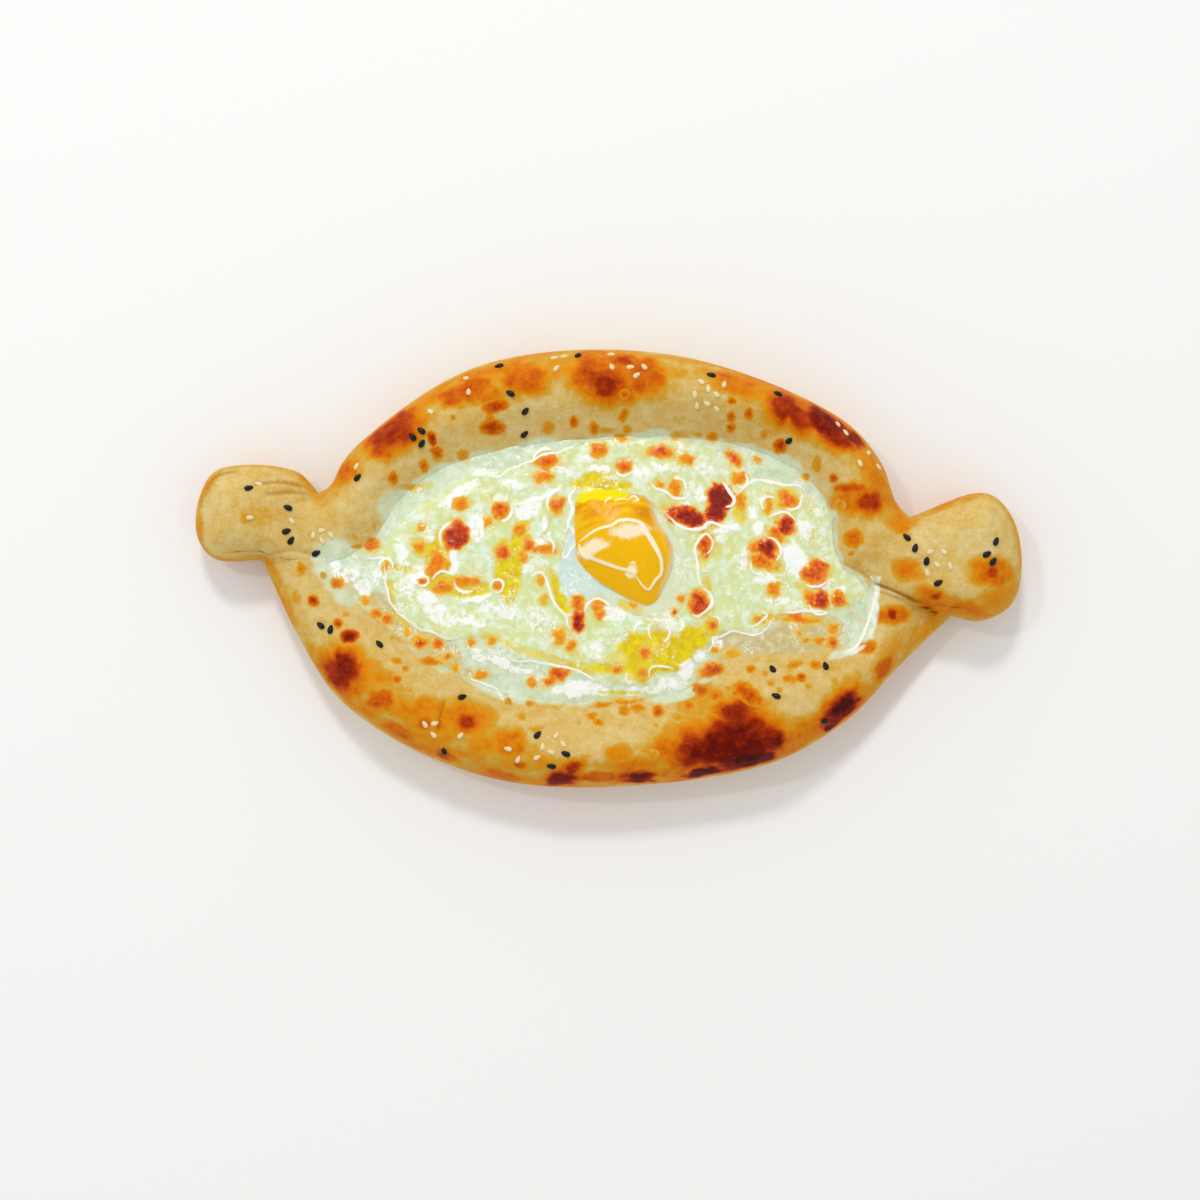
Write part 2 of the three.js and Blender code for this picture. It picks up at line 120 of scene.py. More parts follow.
# Loose groups of seeds: the middle of each as x and y, its number of seeds and its spread. A place alone
# has one seed.
BLACK_GROUPS = [
    (-124.7, 17.5), (-111.2, 11.9), (-110.6, 1.9, 2, 2.5), (-106.5, 19.6), (-100.5, -3.5),
    (-96, -28.8, 2, 2.5), (-76.9, -33.6), (-47, -50), (-87.7, 23.9), (-66.6, 39.5, 3, 3.6), (-41.2, 64.5),
    (-37, 55.1), (-31.5, 49.7), (-31.4, 42.5), (-14.2, 69.8), (31.7, 66.2), (55.3, 61.5), (60.1, 45.9),
    (103.4, 12.3, 2, 2.5), (109, 7.8, 2, 2), (114.1, -0.5), (132.6, 15.2), (131.3, 9.5, 2, 2), (59, -33.8),
    (77.4, -31.2), (61, -42.7), (78.5, -50.5), (-20.2, -61.4), (-10, -66.5), (-14.9, -71.1), (-52, -69),
]
PALE_GROUPS = [
    (-123.5, 18.4, 2, 2.2), (-123.2, 7.2), (-110.4, 5.5, 3, 2.8), (-99, 2.7, 4, 3.2), (-87.9, 27.6, 2, 2),
    (-63.6, 48), (-52, 58, 2, 3), (-22, 68, 3, 3.5), (-3, 69.5, 2, 3), (7.4, 67.5, 4, 4),
    (32.2, 58.8, 9, 6), (79, 51.5, 3, 3), (88.5, 40.5, 4, 4.5), (112.8, 6.9, 6, 5), (-14.9, -65.4, 8, 6),
    (-27.4, -68.3, 3, 3.5), (-56.9, -61, 4, 3), (-46.7, -62.8),
]

# How wide the golden band along the outer edge is, as (x, width), on the upper and the lower side.
GOLDEN_OVER = [(-145, 1.5), (-112, 1), (-98, 7), (-60, 11), (78, 11), (98, 8), (110, 2), (146, 4)]
GOLDEN_UNDER = [(-121, 4), (-60, 11), (-10, 7), (0, 4), (25, 4), (45, 8), (120, 10)]
GOLDEN = 0.27  # its depth of browning
SIDES = 0.24  # the browning of the sides
PALE = 0.1  # the browning of the palest crust
# How a scorch fades out: the most browning, and where it starts and is full, as a patch counts it.
SCORCH_RINGS = [(1.0, -0.6, 0.6), (0.5, -1.0, 0.3), (0.36, -1.3, 0.3)]
FILM_CREST = (17, 21)  # between these distances from the shoreline the film ends
DOUGHY_THINS = 0.62  # how much of the film is missing where the dough shows through

# Mesh density of the fine skins: steps round each stretch of the edge or round an outline, and rows.
STEPS = [155, 275, 172, 302]
RIM_WIDTH = 3.0  # the steep outermost strip of the dough, whose rows run straight in from the edge
RIM_ROWS = 26
SLOPE_ROWS = 66
HOLLOW_ROWS = 6
UNDER_ROWS = 9
CHEESE_COLUMNS = 440
CHEESE_ROWS = 196
CHEESE_BASE_ROWS = 7
WHITE_STEPS, WHITE_ROWS = 220, 60
YOLK_STEPS, YOLK_ROWS = 300, 64
BODY_STEPS, TAUT_STEPS = 220, 120
LINE_STEPS = 5  # in a line through marks, for each of its pixels
CURVE_STEPS = 60  # between two points of a curve, before it is divided evenly
COARSE = 2  # distances are measured to every second point of the edge and the shoreline
MARK_REACH = 3  # how far from its middle a mark is worked out, in halves of its length and width
FAR_OUT = -1.9  # a patch's number where a place is out of the mark's reach
NO_BLISTER = -9.0  # the millimetres inside a blister where none is near
BLISTER_REACH = 2.0  # how far either side of a blister's outline its stored distance goes
STROKE_REACH = 1.2  # the same of a painted highlight line

# ------------------------------------------------------------------ the photograph's view

VIEW_MM_PER_PX = 0.35  # at the height VIEW_Z of the crust
VIEW_Z = 12.0
VIEW_PX = 1200
VIEW_CENTRE_PX = (607.0, 562.0)  # the design frame's origin
VIEW_TILT = math.radians(3.5)  # the boat lies this much clockwise of the photograph's horizontal
CAMERA_HEIGHT = 0.8
SENSOR_MM = 36.0


def place(px, py):
    """Where a pixel of the photograph lies in the design frame, in millimetres."""
    right = np.asarray(px, float) - VIEW_CENTRE_PX[0]
    down = np.asarray(py, float) - VIEW_CENTRE_PX[1]
    x = right * math.cos(VIEW_TILT) + down * math.sin(VIEW_TILT)
    y = right * math.sin(VIEW_TILT) - down * math.cos(VIEW_TILT)
    return VIEW_MM_PER_PX * x, VIEW_MM_PER_PX * y


# ------------------------------------------------------------------ marks, as measured in the photograph

# Scorched patches of the crust: pixel, length, width, angle and depth of browning.
SCORCHES = [
    (397, 432, 21, 13, 35, 0.66), (385, 440, 12, 8, 35, 0.66), (347, 474, 9.5, 6, 35, 0.42),
    (470, 395, 18, 7, 12, 0.54), (488, 400, 10, 6, 0.42), (529, 385, 14, 8, 5, 0.47),
    (520, 371, 11, 4, 10, 0.42), (602, 385, 19, 14, -25, 0.57), (604, 392, 12, 9, -20, 0.7),
    (624, 365, 12, 5, -5, 0.62), (645, 380, 12, 11, 0.5), (590, 358, 10, 6, 10, 0.42),
    (736, 389, 16, 7, -20, 0.42), (779, 408, 12, 12, -30, 0.7), (795, 418, 16, 11, -35, 0.68),
    (822, 424, 20, 11, -32, 0.8), (835, 437, 14, 9, -35, 0.72), (851, 438, 10, 8, -50, 0.8),
    (870, 475, 14, 7, -65, 0.36), (846, 490, 8.7, 2.9, 0.55), (865, 503, 11, 7, 5, 0.68),
    (858, 503, 16, 9, 0.42), (343, 673, 16, 15, 0.7), (348, 668, 13, 14, 0.79), (383, 699, 8, 6.5, 0.54),
    (430, 709, 10, 7, 0.36), (428, 721, 5, 3.5, 20, 0.52), (399, 729, 11, 4.5, -25, 0.45),
    (447, 754, 8, 4, -25, 0.6), (442, 762, 3.5, 1.8, -25, 0.8), (468, 718, 14, 10, 0.38),
    (469, 719, 7, 7, 30, 0.66), (513, 741, 10, 8, -10, 0.42), (522, 762, 4, 2.5, 0.52),
    (500, 774, 14, 4, -10, 0.45), (561, 778, 13, 7, 10, 0.83), (574, 765, 8, 5, 30, 0.66),
    (598, 774, 12, 3.5, 0.5), (637, 776, 14, 6, 0.83), (635, 765, 12, 6, 0.4), (618, 751, 7, 4.5, 20, 0.33),
    (652, 750, 3.5, 3, 0.3), (733, 711, 12, 10, 0.72), (735, 730, 23, 15, 0.8), (728, 748, 40, 17, 8, 0.82),
    (696, 747, 18, 18, 30, 0.68), (748, 757, 22, 7, 8, 0.95), (702, 771, 14, 5, 12, 0.93),
    (770, 738, 11, 12, 0.78), (800, 732, 11, 9, 30, 0.38), (838, 710, 19, 11, 48, 0.8),
    (841, 705, 13, 7, 40, 0.95), (828, 728, 5, 4, 0.93), (882, 668, 7, 5, 60, 0.54),
    (889, 615, 11, 5, 5, 0.45), (890, 615, 4, 5, 0.75), (928, 598, 9, 6, -20, 0.42),
    (930, 597, 4, 3.5, 0.66), (962, 612, 26, 6, -15, 0.4), (995, 600, 14, 10, 30, 0.3),
    (984, 573, 12, 8, 0.44), (984, 573, 5, 4.6, 0.66), (902, 571, 8.7, 5.8, -25, 0.38),
    (896, 523, 7.5, 6.4, -40, 0.34), (1000, 500, 4.5, 2, -40, 0.54), (199, 535, 4, 14, 0.32),
    (211, 487, 13, 3.2, 58, 0.28), (262, 518, 10, 6, 0.18), (252, 520, 3, 3, 0.27),
]

# Wide parts of the crust that are glazed golden, in the same way.
GLAZES = [
    (400, 700, 46, 16, -38, 0.3), (452, 735, 50, 18, -22, 0.28), (520, 757, 40, 12, -8, 0.26),
    (470, 380, 50, 12, 25, 0.26), (560, 370, 40, 9, 5, 0.26), (650, 372, 40, 9, -5, 0.28),
    (740, 392, 40, 10, -22, 0.26), (870, 480, 14, 30, 15, 0.27), (650, 762, 40, 9, 3, 0.27),
    (700, 700, 22, 14, 0.24), (800, 735, 26, 12, 25, 0.26), (905, 650, 30, 10, 50, 0.24),
    (640, 390, 34, 14, 0.22),
]

# Small blisters of the crust, in the same way.
CRUST_BLISTERS = [
    (435, 441, 3.7, 4.9, 0.7), (439, 455, 4.4, 4.9, 0.48), (426, 468, 3.2, 4.4, 0.48),
    (396, 480, 3.4, 5.4, 0.5), (456, 421, 1.7, 2.4, 0.45), (498, 410, 9.3, 4.4, 10, 0.56),
    (492, 421, 3, 3, 0.42), (494, 430, 8.3, 4.9, 0.55), (464, 456, 5, 4, 0.3), (412, 488, 7.7, 2.5, 0.25),
    (550, 430, 5, 4.5, 0.3), (574, 424, 2.6, 4.3, 0.58), (594, 430, 3.7, 4.5, 0.42), (607, 432, 6, 2, 0.3),
    (620, 438, 4.3, 2.7, 0.36), (627, 431, 2.4, 2.4, 0.42), (624, 399, 3.7, 3.2, 0.55),
    (623, 418, 5, 2.8, 65, 0.48), (678, 436, 5.4, 2.7, 0.25), (711, 438, 4, 3, 0.45),
    (698, 436, 4.8, 1.4, 0.36), (729, 405, 3.5, 2.7, 0.56), (729, 420, 3.1, 3.5, 0.5),
    (729, 430, 3.1, 3.5, 0.5), (746, 418, 3.5, 4.6, 0.52), (762, 437, 3.2, 3.2, 0.36),
    (778, 448, 4.6, 5.2, 0.6), (755, 462, 2.3, 2.3, 0.38), (804, 477, 2.6, 2, 0.37),
    (814, 466, 2.9, 5.8, 0.35), (830, 480, 3, 3.4, 0.55), (837, 506, 3.5, 3.5, 0.35),
    (850, 540, 6.4, 7.4, 0.42), (848, 554, 2, 2, 0.4), (304, 569, 3.2, 4.9, 0.4),
    (338, 584, 4.4, 3.4, -25, 0.47), (316, 601, 3.9, 4.4, 0.6), (341, 623, 3.5, 3.5, 0.56),
    (348, 614, 2.4, 1.7, 0.4), (353, 636, 7, 5.4, 0.7), (374, 544, 4.5, 3.9, 0.47), (359, 547, 4, 1.5, 0.3),
    (357, 538, 2.5, 2.5, 0.25), (376, 526, 2, 3, 0.25), (299, 598, 4, 5.4, 0.25), (378, 614, 3, 3, 0.5),
    (389, 620, 3.7, 3, 0.5), (367, 600, 3, 3, 0.3), (326, 576, 2.5, 2.5, 0.3), (394, 637, 2, 2, 0.3),
    (409, 633, 2.5, 2.5, 0.25), (422, 642, 4.4, 3.5, 0.57), (438, 643, 3.8, 3.5, 0.52),
    (448, 656, 3.5, 2, 0.54), (399, 660, 3.5, 2.4, 0.4), (432, 661, 7, 2.8, 0.45),
    (408, 668, 2.2, 2.2, 0.42), (400, 678, 3.4, 3.4, 0.5), (456, 668, 2, 2, 0.4),
    (481, 675, 4.6, 2.6, 0.42), (523, 715, 2.5, 3.2, 0.35), (530, 703, 2.3, 2.3, 0.4),
    (509, 701, 2.4, 2.4, 0.4), (533, 682, 3, 3, 0.4), (537, 727, 5, 2.8, 0.32), (592, 714, 3.3, 2.2, 0.44),
    (598, 720, 4.5, 2.5, -20, 0.42), (603, 704, 8, 2, 10, 0.42), (629, 701, 9.8, 1.6, 0.42),
    (624, 710, 3.6, 3.8, 0.4), (637, 707, 5.4, 2.5, -8, 0.46), (658, 710, 4.2, 4.2, 0.5),
    (688, 704, 3.9, 3, 0.47), (676, 715, 4.2, 3.5, 0.25), (655, 723, 2, 2, 0.27), (652, 751, 4, 4, 0.33),
    (579, 721, 1.8, 1.8, 0.3), (711, 670, 9.5, 4.5, 18, 0.56), (700, 689, 5.4, 5, 0.46),
    (714, 694, 5.5, 4, 10, 0.47), (726, 687, 2.3, 1.8, 0.45), (738, 688, 7, 5, 20, 0.47),
    (746, 694, 9, 6, -30, 0.48), (755, 697, 2.9, 5, 0.52), (749, 668, 3.4, 3, 0.45),
    (763, 672, 1.8, 1.8, 0.42), (768, 682, 2.3, 2.3, 0.4), (776, 688, 2.3, 2.3, 0.38),
    (793, 664, 6, 3, 20, 0.36), (813, 664, 4, 3.6, 0.42), (787, 678, 5, 3, 0.42),
    (799, 676, 3.9, 3.1, 0.58), (805, 685, 2.3, 2.3, 0.35), (832, 680, 3, 3.5, 0.3),
    (831, 628, 3, 3.5, 0.4), (831, 641, 3.5, 5, 0.45), (817, 641, 3.5, 3.5, 0.5),
    (806, 640, 2.3, 1.8, 0.45), (796, 634, 2, 2, 0.4), (865, 647, 5.8, 4.6, 30, 0.45),
]

# Browned blisters of the cheese.
CHEESE_BLISTERS = [
    (456, 537, 9.6, 9.4, 0.6), (502, 512, 5.2, 6.4, 0.47), (463, 504, 5.4, 4.4, 0.38),
    (547, 463, 8.3, 4.6, 0.45), (544, 478, 6.6, 4.2, 0.4), (558, 506, 5.2, 6.6, 0.44),
    (598, 452, 5, 5.6, 0.38), (624, 468, 5.6, 4.7, 15, 0.47), (660, 453, 8.6, 4.2, -5, 0.5),
    (685, 461, 5.6, 4.4, 0.37), (733, 459, 6.7, 3.5, -60, 0.56), (739, 480, 4.6, 4.5, 0.38),
    (675, 489, 4.4, 6.8, 0.38), (660, 485, 3, 2.6, 0.36), (718, 499, 8.8, 10, 0.74),
    (687, 518, 16.5, 7, -14, 0.7), (714, 515, 7, 6, 0.74), (739, 503, 3.9, 6, 0.4),
    (703, 545, 4.7, 7.3, 0.54), (697, 602, 6, 8, 0.6), (712, 625, 3.5, 3.3, 0.52), (786, 501, 7.5, 6, 0.42),
    (767, 506, 3, 5.6, 0.36), (784, 525, 7, 7.4, 0.64), (773, 535, 6, 4, -30, 0.44),
    (767, 550, 6.8, 6.8, 0.7), (762, 563, 8.6, 4, -20, 0.45), (754, 548, 4, 5, 0.42),
    (814, 574, 10, 8.6, 0.48), (809, 571, 4, 4, 0.6), (820, 567, 3.4, 3.4, 0.62),
    (819, 600, 7.4, 6, -30, 0.6), (809, 599, 4, 6, 20, 0.46), (838, 600, 5, 5.6, 0.5),
    (772, 589, 4.6, 5.4, 0.38), (578, 605, 4.4, 5.6, 0.48), (578, 622, 5.2, 7, 0.72),
    (598, 607, 3.6, 4.6, 0.36), (600, 616, 3.6, 4, 0.44), (560, 637, 5, 6, 0.33), (572, 646, 3, 3.4, 0.42),
    (504, 553, 5.6, 5, 0.48), (521, 531, 4.6, 4.2, 0.38), (529, 545, 3.4, 3.4, 0.52),
    (544, 550, 7.6, 3.2, -8, 0.47), (523, 556, 3.3, 4.5, 0.3), (437, 562, 5.6, 9, -15, 0.38),
    (439, 567, 3.4, 4.4, 0.45), (421, 547, 5, 4.2, 0.4), (423, 529, 2.8, 3, 0.34), (445, 587, 7, 3.6, 0.45),
    (467, 581, 8.4, 4.4, 0.4), (476, 580, 2.6, 2.6, 0.45), (425, 581, 2.8, 2.4, 0.45),
    (448, 564, 3, 4, 0.34), (498, 586, 2.8, 2.6, 0.54), (559, 673, 6, 5, 20, 0.52),
    (551, 680, 5, 3.6, 25, 0.45), (616, 669, 3.6, 3.6, 0.42), (644, 653, 4.4, 4.2, 0.4),
    (642, 674, 3, 4, 0.36), (541, 581, 2.8, 5, 0.25), (544, 599, 3, 3, 0.2), (387, 566, 3, 4, 0.28),
    (795, 618, 12, 3, -5, 0.4), (757, 619, 3.6, 3, 0.34), (673, 612, 2.2, 2.2, 0.6),
    (681, 598, 1.8, 2, 0.5), (489, 523, 3.6, 3.4, 0.28), (472, 643, 3, 3, 0.45), (493, 641, 2.5, 2.5, 0.35),
    (715, 649, 3, 2, 0.4), (731, 654, 5, 3, 0.25), (632, 607, 3.6, 1.6, -40, 0.3),
]

# Pools and channels of melted butter, and how deep a yellow they are.
BUTTER = [
    (600, 486, 21, 4.6, -2, 1), (596, 477, 9, 4.4, 5, 0.85), (652, 645, 19, 11, 5, 1),
    (690, 641, 17, 9, 25, 1), (672, 656, 16, 7, 10, 1), (640, 665, 13, 8, 0.95),
    (606, 668, 14, 4, -5, 0.75), (640, 676, 9, 4, 0.9), (668, 668, 9, 3, 0.8), (708, 630, 9, 6, 40, 0.8),
    (618, 656, 12, 4, 0.45), (624, 606, 6, 3, -35, 0.6), (509, 573, 9, 20, 4, 1),
    (521, 541, 6.6, 15, -8, 1), (440, 556, 9, 17, -12, 0.95), (458, 586, 22, 7, -8, 0.9),
    (425, 548, 9, 7, 0.65), (556, 588, 3.4, 14, 12, 0.75), (563, 603, 3.6, 8, 30, 0.9),
    (393, 594, 2.8, 11, 8, 0.6), (404, 619, 11, 3, -45, 0.55), (427, 634, 13, 2.8, -18, 0.5),
    (494, 638, 14, 2.8, -14, 0.45), (519, 648, 14, 3.2, -22, 0.5), (548, 657, 15, 3.2, -18, 0.55),
    (577, 666, 14, 3.8, -20, 0.65), (405, 569, 12, 3, -10, 0.6), (620, 692, 18, 1.4, 0.7),
    (740, 514, 6, 8, 0.65), (706, 614, 6, 7, 0.55), (762, 619, 7, 3, 25, 0.9), (800, 619, 14, 3.4, -6, 0.6),
    (715, 552, 4, 6, 0.45), (768, 565, 10, 5, -20, 0.7), (700, 562, 4, 5, 0.5), (777, 540, 8, 4, -30, 0.5),
    (786, 501, 10, 8, 0.5), (808, 585, 8, 12, 0.5), (796, 586, 3, 3, 0.5), (811, 513, 3, 3, 0.4),
    (808, 536, 5, 7, 0.35), (500, 498, 10, 4, 20, 0.35), (640, 455, 8, 5, 0.3), (705, 585, 4, 8, 0.6),
]

# The outline of the thick cheese. Between it and the dough lies a film of whey and egg white.
CHEESE_BODY = [
    (384, 556), (386, 579), (392, 604), (402, 616), (421, 628), (447, 640), (480, 636), (502, 643),
    (514, 655), (527, 659), (545, 662), (562, 665), (583, 671), (600, 681), (621, 683), (643, 681),
    (649, 669), (678, 671), (697, 652), (712, 637), (726, 630), (754, 633), (767, 626), (775, 616),
    (795, 612), (824, 610), (850, 604), (866, 592), (862, 577), (844, 563), (832, 548), (831, 522),
    (824, 508), (809, 498), (795, 489), (781, 484), (754, 479), (735, 466), (700, 447), (650, 442),
    (600, 444), (564, 451), (535, 459), (511, 471), (480, 474), (440, 494), (410, 514), (392, 536),
]

# Where the film between them is so thin that the dough shows, and how clearly it shows.
DOUGHY = [
    (787, 641, 46, 15, 8, 1), (812, 634, 20, 14, 10, 1), (430, 652, 26, 9, -28, 0.9),
    (745, 646, 24, 12, 0.8), (356, 590, 12, 8, -45, 0.6), (388, 618, 22, 9, -42, 1),
]

# Painted highlights on the wet film's edges, also low ridges: half the width in millimetres, and a chain of
# pixels.
FILM_EDGE_HIGHLIGHTS = [
    (0.4, [(386, 562), (388, 585), (393, 604), (402, 615), (421, 628), (436, 633), (447, 639), (460, 638)]),
    (0.4, [(507, 654), (514, 661), (527, 660), (545, 663), (562, 666), (583, 672), (590, 676), (612, 686)]),
    (0.42, [
        (532, 577), (538, 571), (545, 575), (549, 587), (551, 594),
        (561, 610), (567, 617), (568, 625), (575, 631),
    ]),
    (0.35, [(501, 476), (520, 466), (534, 462), (544, 455), (556, 454), (566, 450), (582, 445)]),
    (0.35, [(470, 470), (484, 474), (497, 478), (508, 473)]),
    (0.42, [(735, 496), (744, 487), (754, 481), (766, 482), (782, 486), (798, 487), (805, 493)]),
    (0.5, [(690, 529), (701, 529), (709, 523), (722, 527), (738, 531)]),
    (0.45, [(663, 512), (673, 523), (687, 530), (702, 530), (711, 524)]),
    (0.45, [
        (703, 556), (709, 551), (711, 542), (705, 535), (698, 540),
        (694, 549), (697, 565), (699, 582), (707, 591),
    ]),
    (0.4, [(707, 591), (711, 601), (705, 612), (695, 616), (689, 611)]),
    (0.42, [(649, 481), (654, 488), (665, 492), (673, 499), (682, 500), (689, 495)]),
    (0.65, [(722, 483), (729, 493), (732, 500), (731, 506), (723, 508)]),
    (0.42, [(801, 494), (799, 503), (796, 509), (789, 511), (782, 509)]),
    (0.4, [(766, 518), (777, 514), (787, 515), (795, 523)]),
    (0.4, [(779, 613), (800, 611), (812, 611), (830, 612)]),
    (0.35, [(760, 611), (765, 616), (754, 625), (744, 627)]),
    (0.35, [(772, 618), (765, 629), (754, 635), (733, 631), (720, 637), (712, 637), (712, 645), (706, 654)]),
    (0.42, [(647, 677), (650, 669), (656, 666), (666, 667), (677, 670)]),
    (0.35, [(676, 615), (682, 622), (682, 627), (678, 632)]),
    (0.35, [(711, 616), (718, 619), (719, 626)]),
    (0.5, [(866, 574), (873, 584), (872, 600), (867, 618), (860, 635), (852, 648), (838, 653)]),
    (0.35, [(370, 559), (385, 558), (391, 560)]),
    (0.4, [(515, 506), (530, 502), (547, 498), (556, 492), (564, 485)]),
    (0.6, [(576, 488), (570, 498), (573, 510), (569, 524), (575, 534), (577, 541)]),
    (0.35, [(577, 541), (572, 549), (567, 557), (563, 557), (566, 548)]),
    (0.35, [(591, 468), (597, 473), (604, 470), (613, 475)]),
    (0.4, [(545, 516), (547, 524), (543, 533)]),
    (0.4, [(462, 604), (472, 600), (480, 602), (491, 596)]),
    (0.3, [(470, 677), (478, 681), (488, 684), (497, 688), (503, 697), (508, 703)]),
    (0.3, [(748, 560), (751, 571), (762, 576), (773, 583)]),
    (0.35, [(556, 468), (564, 470), (571, 477)]),
]

# Painted highlights in crescents round blisters, where the wet film shines: pixel, radius in millimetres, and
# the arc's middle and half its width in degrees, anticlockwise from the photograph's right.
CRESCENT_HALF = 0.4  # half the width of the line, in millimetres
CRESCENT_POINTS = 14
HIGHLIGHT_CRESCENTS = [
    (624, 468, 3.2, -100, 60), (456, 538, 5.2, 160, 60), (502, 511, 3.6, -40, 60), (446, 584, 4.2, 100, 60),
    (468, 579, 4.6, -115, 60), (498, 586, 2.2, 60, 150), (425, 581, 1.9, 0, 160), (547, 463, 4.6, 120, 60),
    (598, 611, 4.2, 100, 110), (738, 480, 2.7, -20, 60), (767, 505, 2.6, 140, 90), (545, 548, 3.4, 30, 60),
    (388, 566, 2.4, 90, 120), (812, 573, 5.2, -80, 50), (819, 602, 4.4, -110, 60), (766, 551, 4.4, 20, 70),
    (659, 631, 3.8, 180, 50), (659, 631, 3.8, -10, 60), (643, 632, 3.2, 140, 60), (675, 490, 3.6, 40, 60),
    (699, 602, 4.4, 20, 60), (558, 505, 3.8, 170, 50),
]

# Set egg white and froth that lie on the cheese, partly a painted highlight, and how white they are.
CURDS_AND_GLARE = [
    (420, 576, 5.6, 6.6, 1), (431, 598, 10, 7, -20, 0.85), (452, 561, 7, 11, 0.75), (432, 540, 5, 4.5, 0.8),
    (478, 528, 8, 13, 10, 0.65), (483, 474, 8, 3, 0.8), (512, 486, 8, 4, -10, 0.7),
    (530, 510, 13, 6.5, 20, 0.75), (545, 524, 2, 7, -5, 0.8), (540, 544, 9, 4, 0.8),
    (476, 599, 11, 2.6, 15, 0.9), (527, 568, 9, 4, 0.7), (440, 615, 16, 7, -30, 0.6),
    (405, 556, 5, 10, 10, 0.6), (408, 590, 6, 12, -20, 0.6), (455, 500, 14, 5, 35, 0.6),
    (470, 488, 10, 4, 30, 0.5), (500, 500, 8, 5, 20, 0.6), (500, 610, 18, 8, -15, 0.45),
    (470, 620, 14, 5, -15, 0.55), (540, 620, 12, 10, 0.4), (565, 595, 4, 8, 0.4), (612, 614, 12, 6, 0.6),
    (595, 648, 12, 8, 0.45), (601, 471, 8, 3.6, 0.85), (565, 473, 6, 3.5, -20, 0.8),
    (556, 492, 6, 2, 20, 0.9), (585, 457, 7, 6, 0.5), (640, 472, 9, 5, 0.6), (662, 470, 9, 4, 0.6),
    (703, 470, 9, 6, 0.5), (685, 505, 6, 3, 0.6), (700, 495, 6, 8, 0.5), (726, 530, 12, 3.4, 10, 0.9),
    (757, 529, 4.5, 6, 0.9), (792, 558, 10, 14, 20, 1), (802, 532, 7, 8, 0.6), (750, 515, 5, 7, 0.7),
    (765, 580, 10, 5, 0.7), (782, 601, 12, 5, 0.6), (822, 584, 8, 3, 10, 1), (836, 590, 6, 3, 0.8),
    (816, 512, 6, 5, 0.5), (742, 560, 4, 10, 0.5), (720, 538, 6, 4, 0.5), (755, 600, 6, 5, 0.4),
    (629, 678, 4, 4.4, 0.9), (686, 671, 6, 8, 0.95), (700, 655, 6, 5, 20, 0.6), (716, 642, 4, 5, 0.6),
    (670, 620, 6, 8, 0.4), (578, 688, 11, 7, 0.9), (600, 690, 8, 4, 0.6), (558, 690, 6, 4, 0.6),
    (640, 690, 24, 3.4, 0.45), (666, 683, 12, 5, 0.6), (500, 660, 10, 4, -15, 0.85),
    (480, 655, 8, 5, -20, 0.6), (518, 669, 12, 3, -10, 0.6), (337, 566, 5, 8, 0.6),
    (352, 575, 8, 7, -20, 0.5), (366, 588, 9, 7, -40, 0.6), (380, 575, 5, 8, 0.5),
    (873, 605, 3, 24, -8, 0.8), (852, 650, 12, 2.5, 20, 0.7),
]

# Where the film of egg white and whey has crept up the inner slope, and how thick it is.
FILM_PATCHES = [
    (350, 572, 22, 18, -30, 1), (366, 591, 19, 9, -45, 0.8), (352, 560, 16, 6, -5, 0.9),
    (395, 505, 14, 10, 45, 0.6), (428, 488, 20, 6, 30, 0.45), (484, 466, 22, 5, 20, 0.45),
    (540, 450, 22, 4, 12, 0.4), (620, 438, 30, 4, 0.25), (756, 458, 16, 5, -25, 0.4),
    (798, 478, 12, 6, -30, 0.5), (822, 498, 6, 14, -20, 0.35), (868, 613, 4.6, 22, -8, 1),
    (857, 641, 12, 5, 45, 0.9), (842, 651, 12, 4, 20, 0.8), (715, 655, 14, 10, 30, 0.9),
    (680, 685, 20, 8, 20, 1), (630, 692, 24, 4, 0.9), (580, 691, 22, 4, -5, 0.9),
    (522, 692, 10, 7, -10, 0.9), (500, 675, 26, 12, -25, 0.95), (470, 660, 18, 9, -25, 0.8),
]

# Folds, creases and lips of the dough, with painted shade: chain of pixels, depth and width in millimetres.
FOLDS = [
    ([(262, 478), (280, 476), (297, 479), (308, 487)], 0.5, 1.2),
    ([(261, 486), (275, 484), (289, 484), (303, 487), (314, 493)], 0.9, 1.0),
    ([(272, 496), (290, 494), (306, 494), (319, 495)], 0.8, 1.0),
    ([(298, 504), (308, 500), (319, 496)], 0.5, 0.9),
    ([(240, 471), (226, 474), (215, 480), (208, 490), (204, 500), (203, 509)], 1.3, 1.3),
    ([(263, 561), (275, 554), (300, 551), (318, 556)], 0.6, 1.3),
    ([(832, 519), (831, 546), (835, 559), (846, 566), (860, 573), (873, 584)], 0.7, 0.8),
    ([(873, 584), (886, 589), (906, 598), (923, 606), (938, 614)], 1.2, 0.7),
    ([(893, 508), (905, 513), (918, 516), (930, 514)], 0.9, 1.3),
    ([(915, 530), (924, 545), (938, 556)], 0.35, 0.9),
    ([(938, 520), (955, 535), (968, 540)], 0.3, 0.8),
    ([(447, 698), (444, 712), (441, 730)], 0.8, 0.9),
    ([(462, 676), (485, 681), (500, 686), (508, 696), (514, 706)], 0.7, 0.8),
    ([(332, 478), (336, 464), (346, 454)], 0.7, 1.0),
    ([(505, 425), (507, 440), (518, 450)], 0.6, 0.9),
    ([(745, 700), (752, 711), (752, 722), (743, 728), (730, 730)], 0.7, 0.8),
    (
        [(673, 358), (721, 366), (751, 378), (774, 387), (800, 396), (840, 428), (878, 463), (894, 508)],
        0.45, 0.6,
    ),
    ([(680, 786), (719, 780), (739, 773), (770, 764), (803, 755), (846, 723)], 0.7, 0.6),
]

